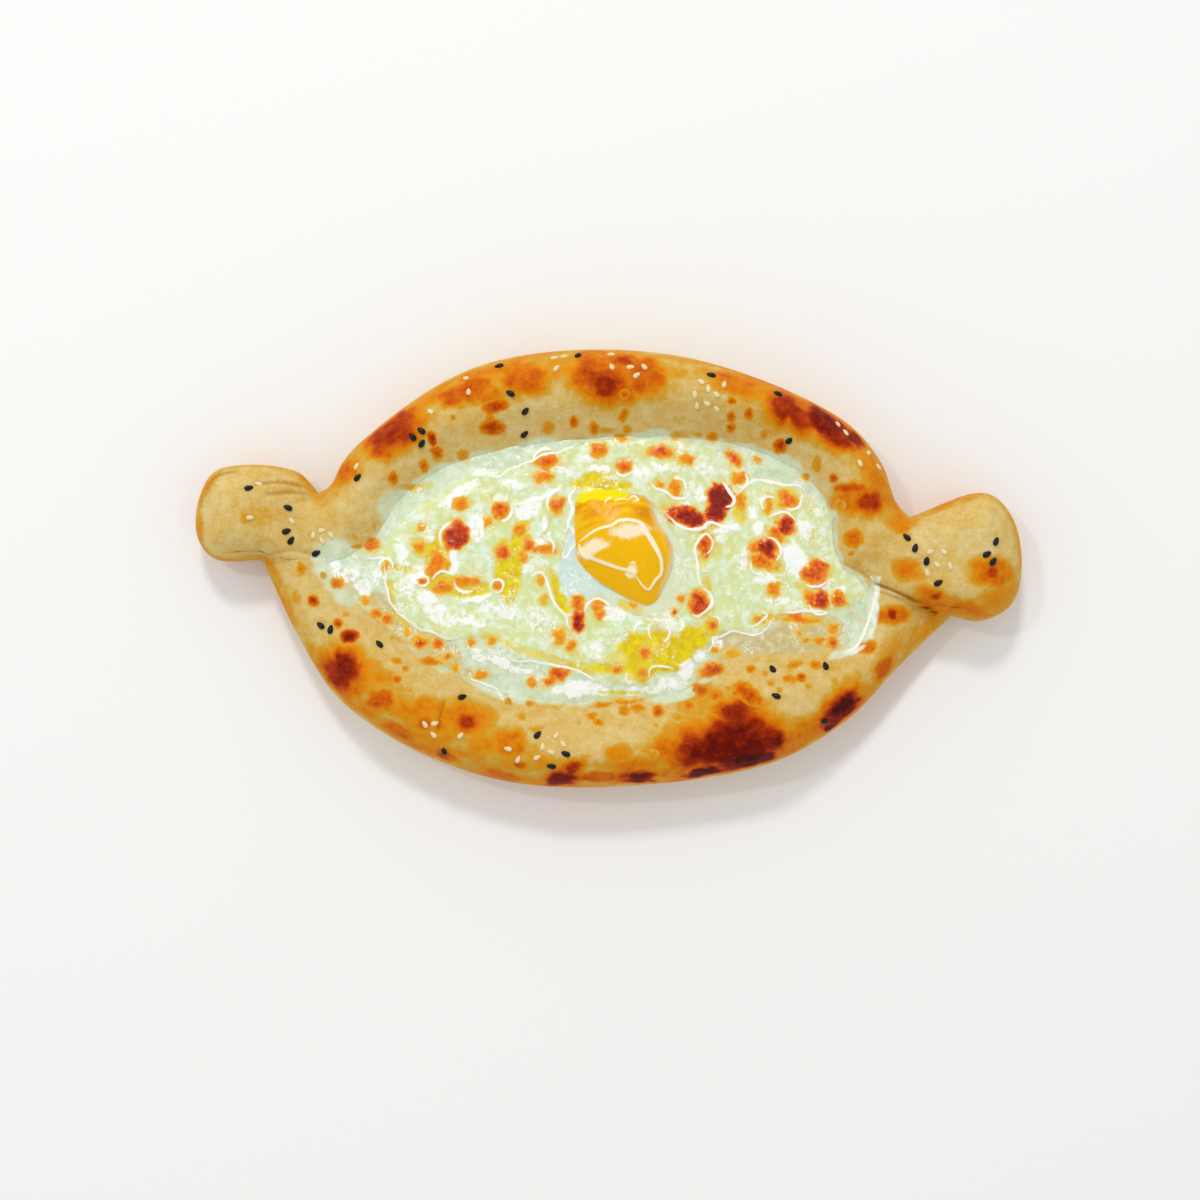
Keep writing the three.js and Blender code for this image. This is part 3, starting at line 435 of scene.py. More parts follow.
# The yolk's outline, closer than the solid's.
YOLK_SKIN = [
    (575, 501), (580, 494), (590, 491), (604, 490), (620, 490), (633, 493), (645, 495), (652, 503),
    (654, 513), (660, 526), (668, 537), (672, 548), (672, 559), (669, 574), (663, 588), (656, 600),
    (647, 605), (637, 602), (620, 594), (598, 581), (582, 566), (577, 557), (576, 546), (575, 532),
    (574, 514),
]
# The smooth, taut part of the yolk, round which its skin is loose and wrinkled.
YOLK_TAUT = [
    (581, 541), (600, 530), (617, 523), (640, 524), (650, 535), (659, 552), (662, 571), (656, 585),
    (646, 591), (636, 579), (618, 568), (592, 560), (580, 557),
]
# Painted highlights on the yolk's glossy skin: thick pale lines, short glints and patches, in the same ways.
YOLK_HIGHLIGHT_LINES = [
    (0.6, [
        (580, 542), (596, 531), (612, 526), (618, 522), (629, 521), (642, 525), (646, 532), (653, 545),
        (659, 556), (661, 566), (660, 575), (655, 580), (648, 590), (643, 587), (639, 582), (635, 576),
    ]),
    (0.85, [(640, 526), (647, 535), (653, 545), (658, 554), (661, 564)]),
    (0.6, [(636, 573), (620, 569), (606, 564), (592, 559), (584, 557), (580, 550), (579, 543)]),
    (0.35, [(604, 505), (608, 500), (612, 497)]), (0.3, [(614, 502), (621, 500), (629, 501)]),
    (0.4, [(628, 501), (633, 497), (638, 501), (632, 502)]), (0.3, [(629, 564), (633, 563), (635, 566)]),
]
YOLK_HIGHLIGHT_PATCHES = [
    (631, 572, 3.6, 4.4, 1), (629, 532, 12.5, 5, 4, 1), (593, 548, 10.5, 4.4, 22, 1),
    (586, 553, 5, 4, -40, 1),
]
# Butter that lies on the yolk.
YOLK_BUTTER = [
    (603, 492, 22, 7.4, -3, 1), (584, 496, 8, 6, 25, 1),
]


# ------------------------------------------------------------------ small mathematics


def clamp(value, low=0.0, high=1.0):
    return np.minimum(np.maximum(value, low), high)


def smoothstep(low, high, value):
    t = clamp((value - low) / (high - low))
    return t * t * (3 - 2 * t)


def roll(share):
    """The height of a quarter circle, from 0 at share 0 to 1 at share 1."""
    return np.sqrt(1 - (1 - clamp(share)) ** 2)


def lattice(ix, iy, seed):
    """A random number from 0 to 1 for each whole-numbered place."""
    n = ix.astype(np.int64) * 374761393 + iy.astype(np.int64) * 668265263 + seed * 974634777
    n = (n ^ (n >> 13)) & 0xFFFFFFFF
    n = (n * 1274126177) & 0xFFFFFFFF
    return ((n ^ (n >> 16)) & 0xFFFFFF) / float(0xFFFFFF)


def noise(x, y, size, seed):
    """Smooth noise from -1 to 1 with humps of about the given size."""
    u, v = x / size, y / size
    iu, iv = np.floor(u), np.floor(v)
    fu, fv = u - iu, v - iv
    fu, fv = fu * fu * (3 - 2 * fu), fv * fv * (3 - 2 * fv)
    low = lattice(iu, iv, seed) * (1 - fu) + lattice(iu + 1, iv, seed) * fu
    high = lattice(iu, iv + 1, seed) * (1 - fu) + lattice(iu + 1, iv + 1, seed) * fu
    return 2 * (low * (1 - fv) + high * fv) - 1


def fractal(x, y, size, octaves, seed):
    """Layers of noise, each half as large and half as strong as the one before."""
    total = np.zeros_like(x)
    for octave in range(octaves):
        total += noise(x, y, size / 2**octave, seed + octave) / 2**octave
    return total / (2 - 2.0 ** (1 - octaves))


def swell(x, y, pitch):
    """Irregular waves from -1 to 1, as in the solids."""
    u, v = x / pitch, y / pitch
    return 0.5 * (np.sin(u + 1.3 * np.sin(0.8 * v)) + np.sin(1.3 * v - 0.8 * np.sin(0.7 * u + 2)))


def spline(points, closed, steps):
    """Points evenly along a centripetal Catmull-Rom curve, without its last point."""
    p = [np.array(q, float) for q in points]
    if closed:
        p = [p[-1]] + p + [p[0], p[1]]
    else:
        p = [2 * p[0] - p[1]] + p + [2 * p[-1] - p[-2]]
    curve = []
    for a, b, c, d in zip(p, p[1:], p[2:], p[3:]):
        t1 = np.linalg.norm(b - a) ** 0.5
        t2 = t1 + np.linalg.norm(c - b) ** 0.5
        t3 = t2 + np.linalg.norm(d - c) ** 0.5
        t = np.linspace(t1, t2, CURVE_STEPS, endpoint=False)[:, None]
        ab = (t1 - t) / t1 * a + t / t1 * b
        bc = (t2 - t) / (t2 - t1) * b + (t - t1) / (t2 - t1) * c
        cd = (t3 - t) / (t3 - t2) * c + (t - t2) / (t3 - t2) * d
        left = (t2 - t) / t2 * ab + t / t2 * bc
        right = (t3 - t) / (t3 - t1) * bc + (t - t1) / (t3 - t1) * cd
        curve.append((t2 - t) / (t2 - t1) * left + (t - t1) / (t2 - t1) * right)
    curve = np.vstack(curve + [p[-2][None]])
    length = np.concatenate([[0], np.cumsum(np.linalg.norm(np.diff(curve, axis=0), axis=1))])
    at = np.linspace(0, length[-1], steps, endpoint=False)
    return np.column_stack([np.interp(at, length, curve[:, k]) for k in range(2)])


def loop_of(stretches):
    """A closed curve with a corner wherever two of its stretches meet."""
    return np.vstack([spline(points, False, steps) for points, steps in zip(stretches, STEPS)])


def in_blocks(measure, x, y, size=4000):
    """A measure of flat lists of places, worked out block by block."""
    parts = [measure(x[k : k + size, None], y[k : k + size, None]) for k in range(0, len(x), size)]
    return np.concatenate(parts) if parts else np.zeros(0)


def near_to(line, x, y, reach):
    """Which places lie in the box round a line, widened by the reach."""
    low, high = line.min(axis=0) - reach, line.max(axis=0) + reach
    return (x > low[0]) & (x < high[0]) & (y > low[1]) & (y < high[1])


def distance_to(line, x, y, closed=True, reach=None):
    """The distance from each place to a closed loop of points, or to an open line, at most the reach."""
    if reach is not None:
        near = near_to(line, x, y, reach)
        away = np.full(x.shape, float(reach))
        away[near] = np.minimum(distance_to(line, x[near], y[near], closed), reach)
        return away
    ends = np.roll(line, -1, axis=0)
    if not closed:
        line, ends = line[:-1], ends[:-1]
    (ax, ay), (dx, dy) = line.T, (ends - line).T
    square = dx * dx + dy * dy + 1e-12

    def nearest(px, py):
        t = clamp(((px - ax) * dx + (py - ay) * dy) / square)
        return np.sqrt(((px - ax - t * dx) ** 2 + (py - ay - t * dy) ** 2).min(axis=1))

    return in_blocks(nearest, x, y)


def is_inside(line, x, y):
    """Which places lie inside a closed loop of points."""
    (ax, ay), (bx, by) = line.T, np.roll(line, -1, axis=0).T
    rise = np.where(by == ay, 1.0, by - ay)

    def crossed_oddly(px, py):
        crosses = ((ay > py) != (by > py)) & (px < (bx - ax) * (py - ay) / rise + ax)
        return crosses.sum(axis=1) % 2 == 1

    return in_blocks(crossed_oddly, x, y)


def how_far_in(line, x, y, reach=None):
    """The distance to a loop, as a negative number outside it."""
    return distance_to(line, x, y, True, reach) * np.where(is_inside(line, x, y), 1.0, -1.0)


def eased_along(stations, x):
    """The value at x of a line of (x, value) stations, eased from each station to the next."""
    value = np.full(x.shape, float(stations[0][1]))
    for (x0, v0), (x1, v1) in zip(stations, stations[1:]):
        value += (v1 - v0) * smoothstep(x0, x1, x)
    return value


def centred(millimetres, reach):
    """A signed distance as a number from 0 to 1, 0.5 on the line and 1 at the reach inside it."""
    return clamp(0.5 + np.asarray(millimetres) / (2 * reach))


# ------------------------------------------------------------------ places of the marks


def patch(at, mark, ragged, seed):
    """1 in the middle of an oval mark, 0 on its edge and as low as -2 outside, with a ragged outline.

    at holds x and y, and the same places on the unrolled surface, where the raggedness is worked out.
    """
    x, y, u, v = at
    px, py, length, width = mark[:4]
    cx, cy = place(px, py)
    turn = math.radians(mark[4] if len(mark) > 5 else 0.0) + VIEW_TILT
    along = (x - cx) * math.cos(turn) + (y - cy) * math.sin(turn)
    across = (y - cy) * math.cos(turn) - (x - cx) * math.sin(turn)
    far = np.hypot(along / (length / 2), across / (width / 2))
    near = far < MARK_REACH + ragged
    far[near] += ragged * fractal(u[near], v[near], 0.35 * min(length, width) + 1.0, 3, seed)
    return 1 - np.minimum(far, MARK_REACH)


def strongest(at, marks, ragged, seed, low=-0.15, high=0.5):
    """The strongest of a list of soft patches at each place."""
    strength = np.zeros(at[0].shape)
    for number, mark in enumerate(marks):
        inside = patch(at, mark, ragged, seed + number)
        strength = np.maximum(strength, mark[-1] * smoothstep(low, high, inside))
    return strength


def blisters_at(at, blisters, ragged, seed):
    """How far inside a blister each place is, in mm, and how brown the nearest blister is."""
    inside, depth_there = np.full(at[0].shape, NO_BLISTER), np.zeros(at[0].shape)
    for number, mark in enumerate(blisters):
        half = min(mark[2:4]) / 2
        here = half * patch(at, mark, ragged, seed + number)
        here[here < FAR_OUT * half] = NO_BLISTER
        nearer = here > inside
        inside[nearer], depth_there[nearer] = here[nearer], mark[-1]
    return inside, depth_there


def chain_of(pixels, steps=None):
    """A smooth open line through a chain of pixels."""
    return spline(np.column_stack(place(*zip(*pixels))), False, steps or LINE_STEPS * len(pixels))


def crescent(px, py, radius, middle, half_width):
    """An arc of a circle round a pixel."""
    turn = np.radians(np.linspace(middle - half_width, middle + half_width, CRESCENT_POINTS)) + VIEW_TILT
    cx, cy = place(px, py)
    return np.column_stack([cx + radius * np.cos(turn), cy + radius * np.sin(turn)])


def strokes_at(x, y, strokes):
    """How far inside the nearest stroke each place is, in mm. Strokes are lines that thin out at the ends."""
    inside = np.full(x.shape, -STROKE_REACH)
    for half, line in strokes:
        near = near_to(line, x, y, STROKE_REACH + half)
        best, near_x, near_y = inside[near], x[near], y[near]
        for k in range(len(line) - 1):
            (ax, ay), (dx, dy) = line[k], line[k + 1] - line[k]
            t = clamp(((near_x - ax) * dx + (near_y - ay) * dy) / (dx * dx + dy * dy + 1e-12))
            away = np.hypot(near_x - ax - t * dx, near_y - ay - t * dy)
            share = (k + t) / (len(line) - 1)
            best = np.maximum(best, half * np.sin(math.pi * clamp(share, 0.02, 0.98)) ** 0.4 - away)
        inside[near] = best
    return inside


# ------------------------------------------------------------------ curves

edge = loop_of(EDGE)
shore = loop_of(SHORE)
coarse_edge = edge[::COARSE]
coarse_shore = shore[::COARSE]
white_edge = spline(WHITE_EDGE, True, WHITE_STEPS)
yolk_edge = chain_of(YOLK_SKIN + YOLK_SKIN[:1], YOLK_STEPS)
yolk_taut = chain_of(YOLK_TAUT + YOLK_TAUT[:1], TAUT_STEPS)
cheese_body = chain_of(CHEESE_BODY + CHEESE_BODY[:1], BODY_STEPS)
# Painted highlight lines: on the wet film's edges and in crescents round blisters.
highlight_strokes = [(half, chain_of(pixels)) for half, pixels in FILM_EDGE_HIGHLIGHTS]
highlight_strokes += [(CRESCENT_HALF, crescent(*arc)) for arc in HIGHLIGHT_CRESCENTS]
# Painted highlight lines on the yolk.
yolk_highlight_strokes = [(half, chain_of(pixels)) for half, pixels in YOLK_HIGHLIGHT_LINES]
MIDDLE = (edge.min(axis=0) + edge.max(axis=0)) / 2
keel_line = KEEL[1] - KEEL[0]
along_keel = clamp((shore - KEEL[0]) @ keel_line / (keel_line @ keel_line))
inner = KEEL[0] + along_keel[:, None] * keel_line


def inward_of(loop):
    """The unit vector at each point of a clockwise loop that points into it."""
    ahead = np.roll(loop, -1, axis=0) - np.roll(loop, 1, axis=0)
    ahead /= np.linalg.norm(ahead, axis=1)[:, None]
    return np.column_stack([ahead[:, 1], -ahead[:, 0]])


# ------------------------------------------------------------------ heights


def smooth_min(a, b, reach):
    """The lower of two heights, rounded where they are less than the reach apart."""
    h = np.maximum(reach - np.abs(a - b), 0) / reach
    return np.minimum(a, b) - h * h * reach / 4


def banked(edge_in, shore_out, crown):
    """The dough's height where its roll meets its inner slope, for a crown of that height."""
    dome = EDGE_Z + (crown - EDGE_Z) * roll(edge_in / ROLL)
    climb = np.sin(np.minimum(np.maximum(shore_out, 0) / BANK, 1) * math.pi / 2)
    bank = SHORE_Z + (crown + BANK_OVER - SHORE_Z) * climb
    slope = np.where(shore_out < 0, SHORE_Z + BANK_FALL * shore_out, bank)
    return np.maximum(smooth_min(dome, slope, BLEND), FLOOR_Z)


def on_upper_edge(x, y):
    """0 on the edge that is tucked under the knobs, 1 on the edge that runs into them."""
    return roll((y - np.interp(x, *zip(*SEAM))) / TUCK)


def dough_form(x, y, edge_in, shore_out):
    """The dough's height before its fine relief, as in the solid."""
    over = banked(edge_in, shore_out, eased_along(CROWN_OVER, x))
    under = banked(edge_in, shore_out, eased_along(CROWN_UNDER, x))
    folded = under + (over - under) * on_upper_edge(x, y)
    lumps = DOUGH_LUMP * swell(x, y, DOUGH_PITCH)
    return folded + lumps * roll(edge_in / ROLL) * smoothstep(0, RELIEF_EASE, shore_out)


def shore_in_at(x, y):
    """The distance in from the shoreline, as a negative number on the dough."""
    return how_far_in(coarse_shore, x, y)


def folds_at(x, y):
    """The depth of the folds at each place, in millimetres."""
    depth = np.zeros(x.shape)
    for pixels, deep, wide in FOLDS:
        away = distance_to(chain_of(pixels), x, y, False, 4 * wide)
        depth = np.maximum(depth, deep * np.exp(-((away / wide) ** 2)))
    return depth


def cheese_form(x, y, shore_in):
    """The cheese's height before its fine relief, as in the solid."""
    rise = CHEESE_DOME + CHEESE_LUMP * swell(x, y, CHEESE_PITCH)
    return SHORE_Z - CHEESE_DIP + rise * smoothstep(0, CHEESE_EASE, shore_in)


# ------------------------------------------------------------------ what lies on the food

# Heights of the fine relief, in millimetres, on the crust and on the wet filling.
CRUST_BLISTER_RISE, CRUST_BLISTER_ROUND = 0.2, 2.5  # height, and how far in from its rim a blister levels off
WET_BLISTER_RISE, WET_BLISTER_ROUND = 0.3, 3.0
CRUST_PORE_RISE, CRUST_WAVE_RISE = 0.22, 0.4
# heights of the ridges under the painted highlight lines
CRUST_LINE_RISE, WET_LINE_RISE = 0.25, 0.35
FILM_RISE, FILM_WAVE_RISE = 0.2, 0.25
CURDLE_RISE, WET_WAVE_RISE = 0.3, 0.3
BUBBLE_RISE = 0.35  # of the bubbles on a cheese blister
CURD_RISE = 0.3
BUTTER_SINK = 0.3
BUTTER_CALM = 0.25  # what butter takes off the height of the curdled cheese
LINE_FLANK = (-0.5, 0.2)  # where the ridge under a painted highlight line starts to rise and where it is at its height
LINE_SHAKE = 0.35  # how far the painted highlight lines stray from their smooth course
BLISTER_SHAKE = 0.7  # how far the outlines of the blisters on the filling stray from ovals
CREASE_SHADE_DEPTH = 1.5  # depth of a fold whose painted shade is full


def side_browning(u, v):
    """The golden brown of the dough's sides and underside."""
    return SIDES + 0.25 * fractal(u, v, 14, 3, 79)


def scorch_at(at, edge_in):
    """Browning of the crust from 0 to 1: a golden band along the outer edge, and scorched patches."""
    x, y, u, v = at
    wobble = fractal(u, v, 16, 3, 11)
    over = on_upper_edge(x, y)
    band = eased_along(GOLDEN_UNDER, x) * (1 - over) + eased_along(GOLDEN_OVER, x) * over
    gold = 1 - smoothstep(0.3, 1.3, edge_in / band + 0.4 * wobble)
    brown = PALE + 0.04 * wobble + (GOLDEN + 0.2 * fractal(u, v, 9, 3, 17) - PALE) * gold
    for number, mark in enumerate(SCORCHES):
        inside = patch(at, mark, 0.4, 23 + number)
        for most, start, end in SCORCH_RINGS:
            brown = np.maximum(brown, min(most, mark[-1]) * smoothstep(start, end, inside))
    glazed = strongest(at, GLAZES, 0.5, 601, -0.4, 0.5) * (1 + 0.5 * fractal(u, v, 6, 3, 19))
    brown = np.maximum(brown, glazed)
    fade = smoothstep(0.3, 2.2, edge_in + 0.7 * fractal(u, v, 5, 2, 13))
    return side_browning(u, v) * (1 - fade) + brown * fade


def film_at(at, shore_out):
    """How thick the milky film lies on the dough's inner slope, from 0 to 1."""
    film = 1 - smoothstep(-1.5, 2.4, shore_out + 3.0 * fractal(*at[:2], 8, 3, 41))
    film = np.maximum(film, strongest(at, FILM_PATCHES, 0.35, 47, -0.5, 0.3))
    film = film * (1 - smoothstep(*FILM_CREST, shore_out))
    return film * (1 - DOUGHY_THINS * strongest(at, DOUGHY, 0.9, 401, -0.6, 0.4))


def highlight_lines_at(x, y):
    """How far inside a painted highlight line, along the film's edges and round the blisters, each place is,
    in mm.
    """
    return strokes_at(x + LINE_SHAKE * noise(x, y, 3, 5), y + LINE_SHAKE * noise(x, y, 3, 6), highlight_strokes)


def curd_and_glare_at(at):
    """How much set egg white and froth, partly a painted highlight, lies there, from 0 to 1."""
    return strongest(at, CURDS_AND_GLARE, 0.5, 211)


def wet_marks(at):
    """What the shaders of the wet filling read at each place."""
    x, y = at[:2]
    warped = x + BLISTER_SHAKE * noise(x, y, 2.6, 7), y + BLISTER_SHAKE * noise(x, y, 2.6, 8)
    spot, toast = blisters_at((*warped, x, y), CHEESE_BLISTERS + CRUST_BLISTERS, 0.4, 61)
    butter = strongest(at, BUTTER, 0.4, 131, -0.35, 0.35)
    return {"spot": spot, "toast": toast, "line": highlight_lines_at(x, y), "butter": butter, "curd_and_glare": curd_and_glare_at(at)}


def blister_rise(spot, rise, round_off):
    """The height of blisters with rounded rims, from how far inside one each place is."""
    return rise * roll(spot / round_off) * (spot > 0)


def wet_relief(at, marks):
    """The fine relief of the wet filling, in millimetres."""
    x, y = at[:2]
    spot, butter = marks["spot"], marks["butter"]
    bubbly = BUBBLE_RISE * np.abs(fractal(x, y, 1.7, 2, 87)) * smoothstep(0.0, 0.8, spot)
    relief = blister_rise(spot, WET_BLISTER_RISE, WET_BLISTER_ROUND) + bubbly
    curdled = (CURDLE_RISE - BUTTER_CALM * butter) * fractal(x, y, 3.0, 3, 83)
    relief += curdled + WET_WAVE_RISE * fractal(x, y, 8.0, 2, 85)
    relief = relief + WET_LINE_RISE * smoothstep(*LINE_FLANK, marks["line"])
    return relief + CURD_RISE * marks["curd_and_glare"] - BUTTER_SINK * butter


def stored(marks):
    """Marks as numbers from 0 to 1, for a mesh."""
    scaled = dict(marks)
    scaled["spot"] = centred(marks["spot"], BLISTER_REACH)
    # the painted highlight lines
    scaled["line"] = centred(marks["line"], STROKE_REACH)
    return scaled


# ------------------------------------------------------------------ meshes


def to_frame(points):
    """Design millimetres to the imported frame's metres."""
    shifted = np.array(points, float)
    shifted[:, :2] -= MIDDLE
    return shifted / 1000


def stack_faces(rows, count):
    """Quads between rows of a closed stack, facing out when the rows run up the outside."""
    i = np.arange(count)
    after = (i + 1) % count
    quads = []
    for row in range(rows - 1):
        a, b = row * count, (row + 1) * count
        quads.append(np.column_stack([a + i, b + i, b + after, a + after]))
    return np.vstack(quads)


def cap_faces(loop, first, up):
    """Triangles that fill one loop of a stack."""
    faces = []
    for a, b, c in tessellate_polygon([[Vector((p[0], p[1], 0)) for p in loop]]):
        area = (loop[b][0] - loop[a][0]) * (loop[c][1] - loop[a][1])
        area -= (loop[b][1] - loop[a][1]) * (loop[c][0] - loop[a][0])
        corners = (a, b, c) if (area > 0) == up else (a, c, b)
        faces.append([first + corner for corner in corners])
    return faces


def add_object(name, data):
    thing = bpy.data.objects.new(name, data)
    bpy.context.scene.collection.objects.link(thing)
    return thing


def make_object(name, points, faces, material, values=None):
    """A smooth-shaded object, with a value for each vertex under each name in values."""
    mesh = bpy.data.meshes.new(name)
    mesh.from_pydata(to_frame(points).tolist(), [], [list(map(int, f)) for f in faces])
    for key, numbers in (values or {}).items():
        layer = mesh.attributes.new(key, "FLOAT", "POINT")
        layer.data.foreach_set("value", np.asarray(numbers, np.float32))
    mesh.shade_smooth()
    mesh.materials.append(material)
    mesh.validate()
    return add_object(name, mesh)


def skin(name, rows, material, values):
    """A closed object from a stack of loops, the first and last of them filled in."""
    count = len(rows[0])
    faces = stack_faces(len(rows), count).tolist()
    faces += cap_faces(rows[0], 0, False)
    faces += cap_faces(rows[-1], (len(rows) - 1) * count, True)
    return make_object(name, np.vstack(rows), faces, material, values)


def rows_between(start, end, shares):
    """Loops at these shares of the way from one loop to another loop or point."""
    return [start + (end - start) * share for share in shares]


# ------------------------------------------------------------------ materials

# Colours are given as a screen shows them, from 0 to 255.
CRUST_BROWNING = [
    (0.0, (222, 205, 146)), (0.1, (217, 184, 104)), (0.22, (210, 158, 42)), (0.34, (222, 138, 6)),
    (0.5, (206, 96, 2)), (0.66, (168, 50, 2)), (0.82, (112, 17, 1)), (1.0, (58, 4, 1)),
]
CHEESE_BROWNING = [
    (0.0, (236, 196, 50)), (0.2, (238, 174, 20)), (0.34, (240, 146, 2)), (0.46, (234, 116, 2)),
    (0.6, (206, 68, 2)), (0.76, (150, 26, 2)), (1.0, (84, 6, 2)),
]
WET_COAT = {"Coat_Weight": 1.0, "Coat_IOR": 1.4}
SOFT_SCALE = 0.5  # of the light that goes into the food


def linear(red, green, blue):
    """A screen colour as the shader's linear numbers."""
    channels = [c / 255 for c in (red, green, blue)]
    return (*[c / 12.92 if c <= 0.04045 else ((c + 0.055) / 1.055) ** 2.4 for c in channels], 1.0)


def set_stops(color_ramp, stops):
    """Sets screen colours or numbers at (position, value) stops."""
    elements = color_ramp.elements
    while len(elements) < len(stops):
        elements.new(0.5)
    for element, (position, value) in zip(elements, stops):
        element.position = position
        element.color = linear(*value) if isinstance(value, tuple) else (value, value, value, 1.0)


class Shader:
    """A material's nodes, with short calls for the few kinds that the food needs."""

    def __init__(self, name, **sockets):
        self.material = bpy.data.materials.new(name)
        self.material.use_nodes = True
        self.tree = self.material.node_tree
        self.surface = self.tree.nodes["Principled BSDF"]
        self.coords = self.tree.nodes.new("ShaderNodeTexCoord").outputs["Object"]
        self.colour = None
        for socket, value in sockets.items():
            self.set(socket.replace("_", " "), value)

    def link(self, source, target):
        """Gives an input a number, a screen colour or another node's output."""
        if isinstance(source, tuple):
            target.default_value = linear(*source)
        elif isinstance(source, (int, float)):
            target.default_value = source
        else:
            self.tree.links.new(source, target)

    def set(self, socket, source):
        self.link(source, self.surface.inputs[socket])

    def node(self, kind, inputs, **settings):
        """A new node with these settings, and with a source for each of these inputs."""
        node = self.tree.nodes.new("ShaderNode" + kind)
        for setting, value in settings.items():
            setattr(node, setting, value)
        for socket, source in inputs.items():
            self.link(source, node.inputs[socket])
        return node

    def value(self, name):
        """The numbers that the mesh holds under that name."""
        return self.node("Attribute", {}, attribute_name=name).outputs["Fac"]

    def maths(self, operation, a, b=0.0):
        return self.node("Math", {0: a, 1: b}, operation=operation).outputs[0]

    def times(self, a, b):
        return self.maths("MULTIPLY", a, b)

    def sum(self, *terms):
        """The sum of terms, each a socket or a (socket, factor) pair."""
        total = 0.0
        for term in terms:
            total = self.maths("ADD", self.times(*term) if isinstance(term, tuple) else term, total)
        return total

    def noise(self, size_mm, detail, roughness=0.55, distortion=0.0):
        """Noise about 0.5."""
        inputs = {"Detail": detail, "Roughness": roughness, "Distortion": distortion}
        inputs.update({"Scale": 1000.0 / size_mm, "Vector": self.coords})
        return self.node("TexNoise", inputs).outputs["Fac"]

    def swing(self, *settings):
        """Noise about 0."""
        return self.maths("SUBTRACT", self.noise(*settings), 0.5)

    def ramp(self, factor, stops):
        """Screen colours or numbers at (position, value) stops."""
        node = self.node("ValToRGB", {0: factor})
        set_stops(node.color_ramp, stops)
        return node.outputs[0]

    def step(self, factor, start, end, after=1.0, before=0.0):
        """A number that goes from one value up to the start to another from the end on."""
        return self.ramp(factor, [(start, before), (end, after)])

    def mix(self, factor, a, b, blend="MIX"):
        inputs = {"Factor": factor, "A": a, "B": b}
        return self.node("Mix", inputs, data_type="RGBA", blend_type=blend).outputs["Result"]

    def paint(self, mask, colour):
        """Lays another colour over the food's own where the mask is 1."""
        self.colour = self.mix(mask, self.colour, colour)

    def bump(self, height, depth_mm, strength):
        inputs = {"Distance": depth_mm / 1000, "Strength": strength, "Height": height}
        return self.node("Bump", inputs).outputs["Normal"]

    def finish(self, relief, softness, *radius):
        """Sets the colour, the same relief for the food and its wet coat, and how deep light goes in."""
        self.set("Base Color", self.colour)
        self.set("Normal", relief)
        self.set("Coat Normal", relief)
        self.set("Subsurface Weight", softness)
        self.set("Subsurface Scale", SOFT_SCALE)
        self.surface.inputs["Subsurface Radius"].default_value = radius
        return self.material


def lit_film(s):
    """The milky film's colour, the same on dough and cheese, so that they run into each other."""
    return s.mix(s.step(s.noise(4.0, 5, 0.65), 0.35, 0.65), (200, 218, 178), (226, 238, 212))


def paint_blisters(s, grain, ring, room, stops, speckle):
    """Browned blisters: a thin ring where there is room, orange, and dark inside."""
    toast = s.value("toast")
    spot = s.sum(s.value("spot"), (grain, 0.4 * speckle), (s.swing(2.0, 3), speckle))
    depth = s.times(toast, s.ramp(spot, [(0.46, 0.5), (0.62, 0.78), (0.78, 1.02), (0.94, 1.2)]))
    level = s.sum((depth, 0.92), (grain, 0.5 * speckle), (s.swing(1.8, 3), speckle))
    halo = s.times(s.step(spot, 0.28, 0.46, 0.75), s.step(toast, 0.3, 0.5))
    s.paint(s.times(halo, room), ring)
    s.paint(s.step(spot, 0.44, 0.54), s.ramp(level, stops))


def highlight_line(s, grain):
    """Where a painted highlight line shows, from the stored distance to it."""
    return s.step(s.sum(s.value("line"), (grain, 0.16)), 0.46, 0.54)


def crust_material():
    s = Shader("baked_crust", Roughness=0.55, Specular_IOR_Level=0.06, Coat_Roughness=0.08, Coat_IOR=1.35)
    fine = s.noise(0.9, 4, 0.65)
    grain = s.maths("SUBTRACT", fine, 0.5)
    mottle = s.swing(4.5, 5, 0.62)
    brown = s.value("browning")
    uneven = s.times(mottle, s.ramp(brown, [(0.0, 0.25), (0.2, 0.4), (0.4, 0.45)]))
    level = s.sum(brown, uneven, (grain, 0.18), (s.swing(2.0, 3), 0.12))
    s.colour = s.ramp(level, CRUST_BROWNING)
    flour = s.times(s.step(s.noise(1.6, 5, 0.7), 0.45, 0.7), s.step(brown, 0.1, 0.3, 0.0, 0.3))
    s.paint(flour, (232, 214, 164))
    thickness = s.sum(s.value("film"), (grain, 0.35), (mottle, 0.5))
    film = s.ramp(thickness, [(0.25, 0.0), (0.55, 0.7), (0.9, 0.92)])
    film = s.times(film, s.step(brown, 0.3, 0.55, 0.2, 1.0))
    s.paint(film, lit_film(s))
    room = s.step(brown, 0.12, 0.3, 0.0, 1.0)
    paint_blisters(s, grain, (222, 176, 84), room, CRUST_BROWNING, 0.3)
    # White set egg white on the film, in places a painted highlight.
    curd_and_glare = s.times(s.step(s.sum(s.value("curd_and_glare"), (grain, 0.6)), 0.3, 0.75, 0.9), film)
    s.paint(curd_and_glare, (242, 248, 240))
    # Painted highlight: white lines on the wet film's edges where the film lies on the crust.
    line = s.times(highlight_line(s, grain), s.step(film, 0.1, 0.4))
    s.paint(line, (252, 252, 236))
    # Painted shade: darker in the folds and creases.
    crease_shade = s.step(s.sum(s.value("crease_shade"), (grain, 0.3)), 0.25, 0.8, 0.8)
    s.paint(crease_shade, s.mix(1.0, s.colour, (176, 136, 60), "MULTIPLY"))
    s.set("Coat Weight", s.step(film, 0.3, 0.8, 0.9))
    relief = s.bump(s.sum((fine, 0.6), (s.noise(0.45, 2), 0.4)), 0.45, 0.7)
    return s.finish(relief, 0.05, 0.004, 0.002, 0.001)


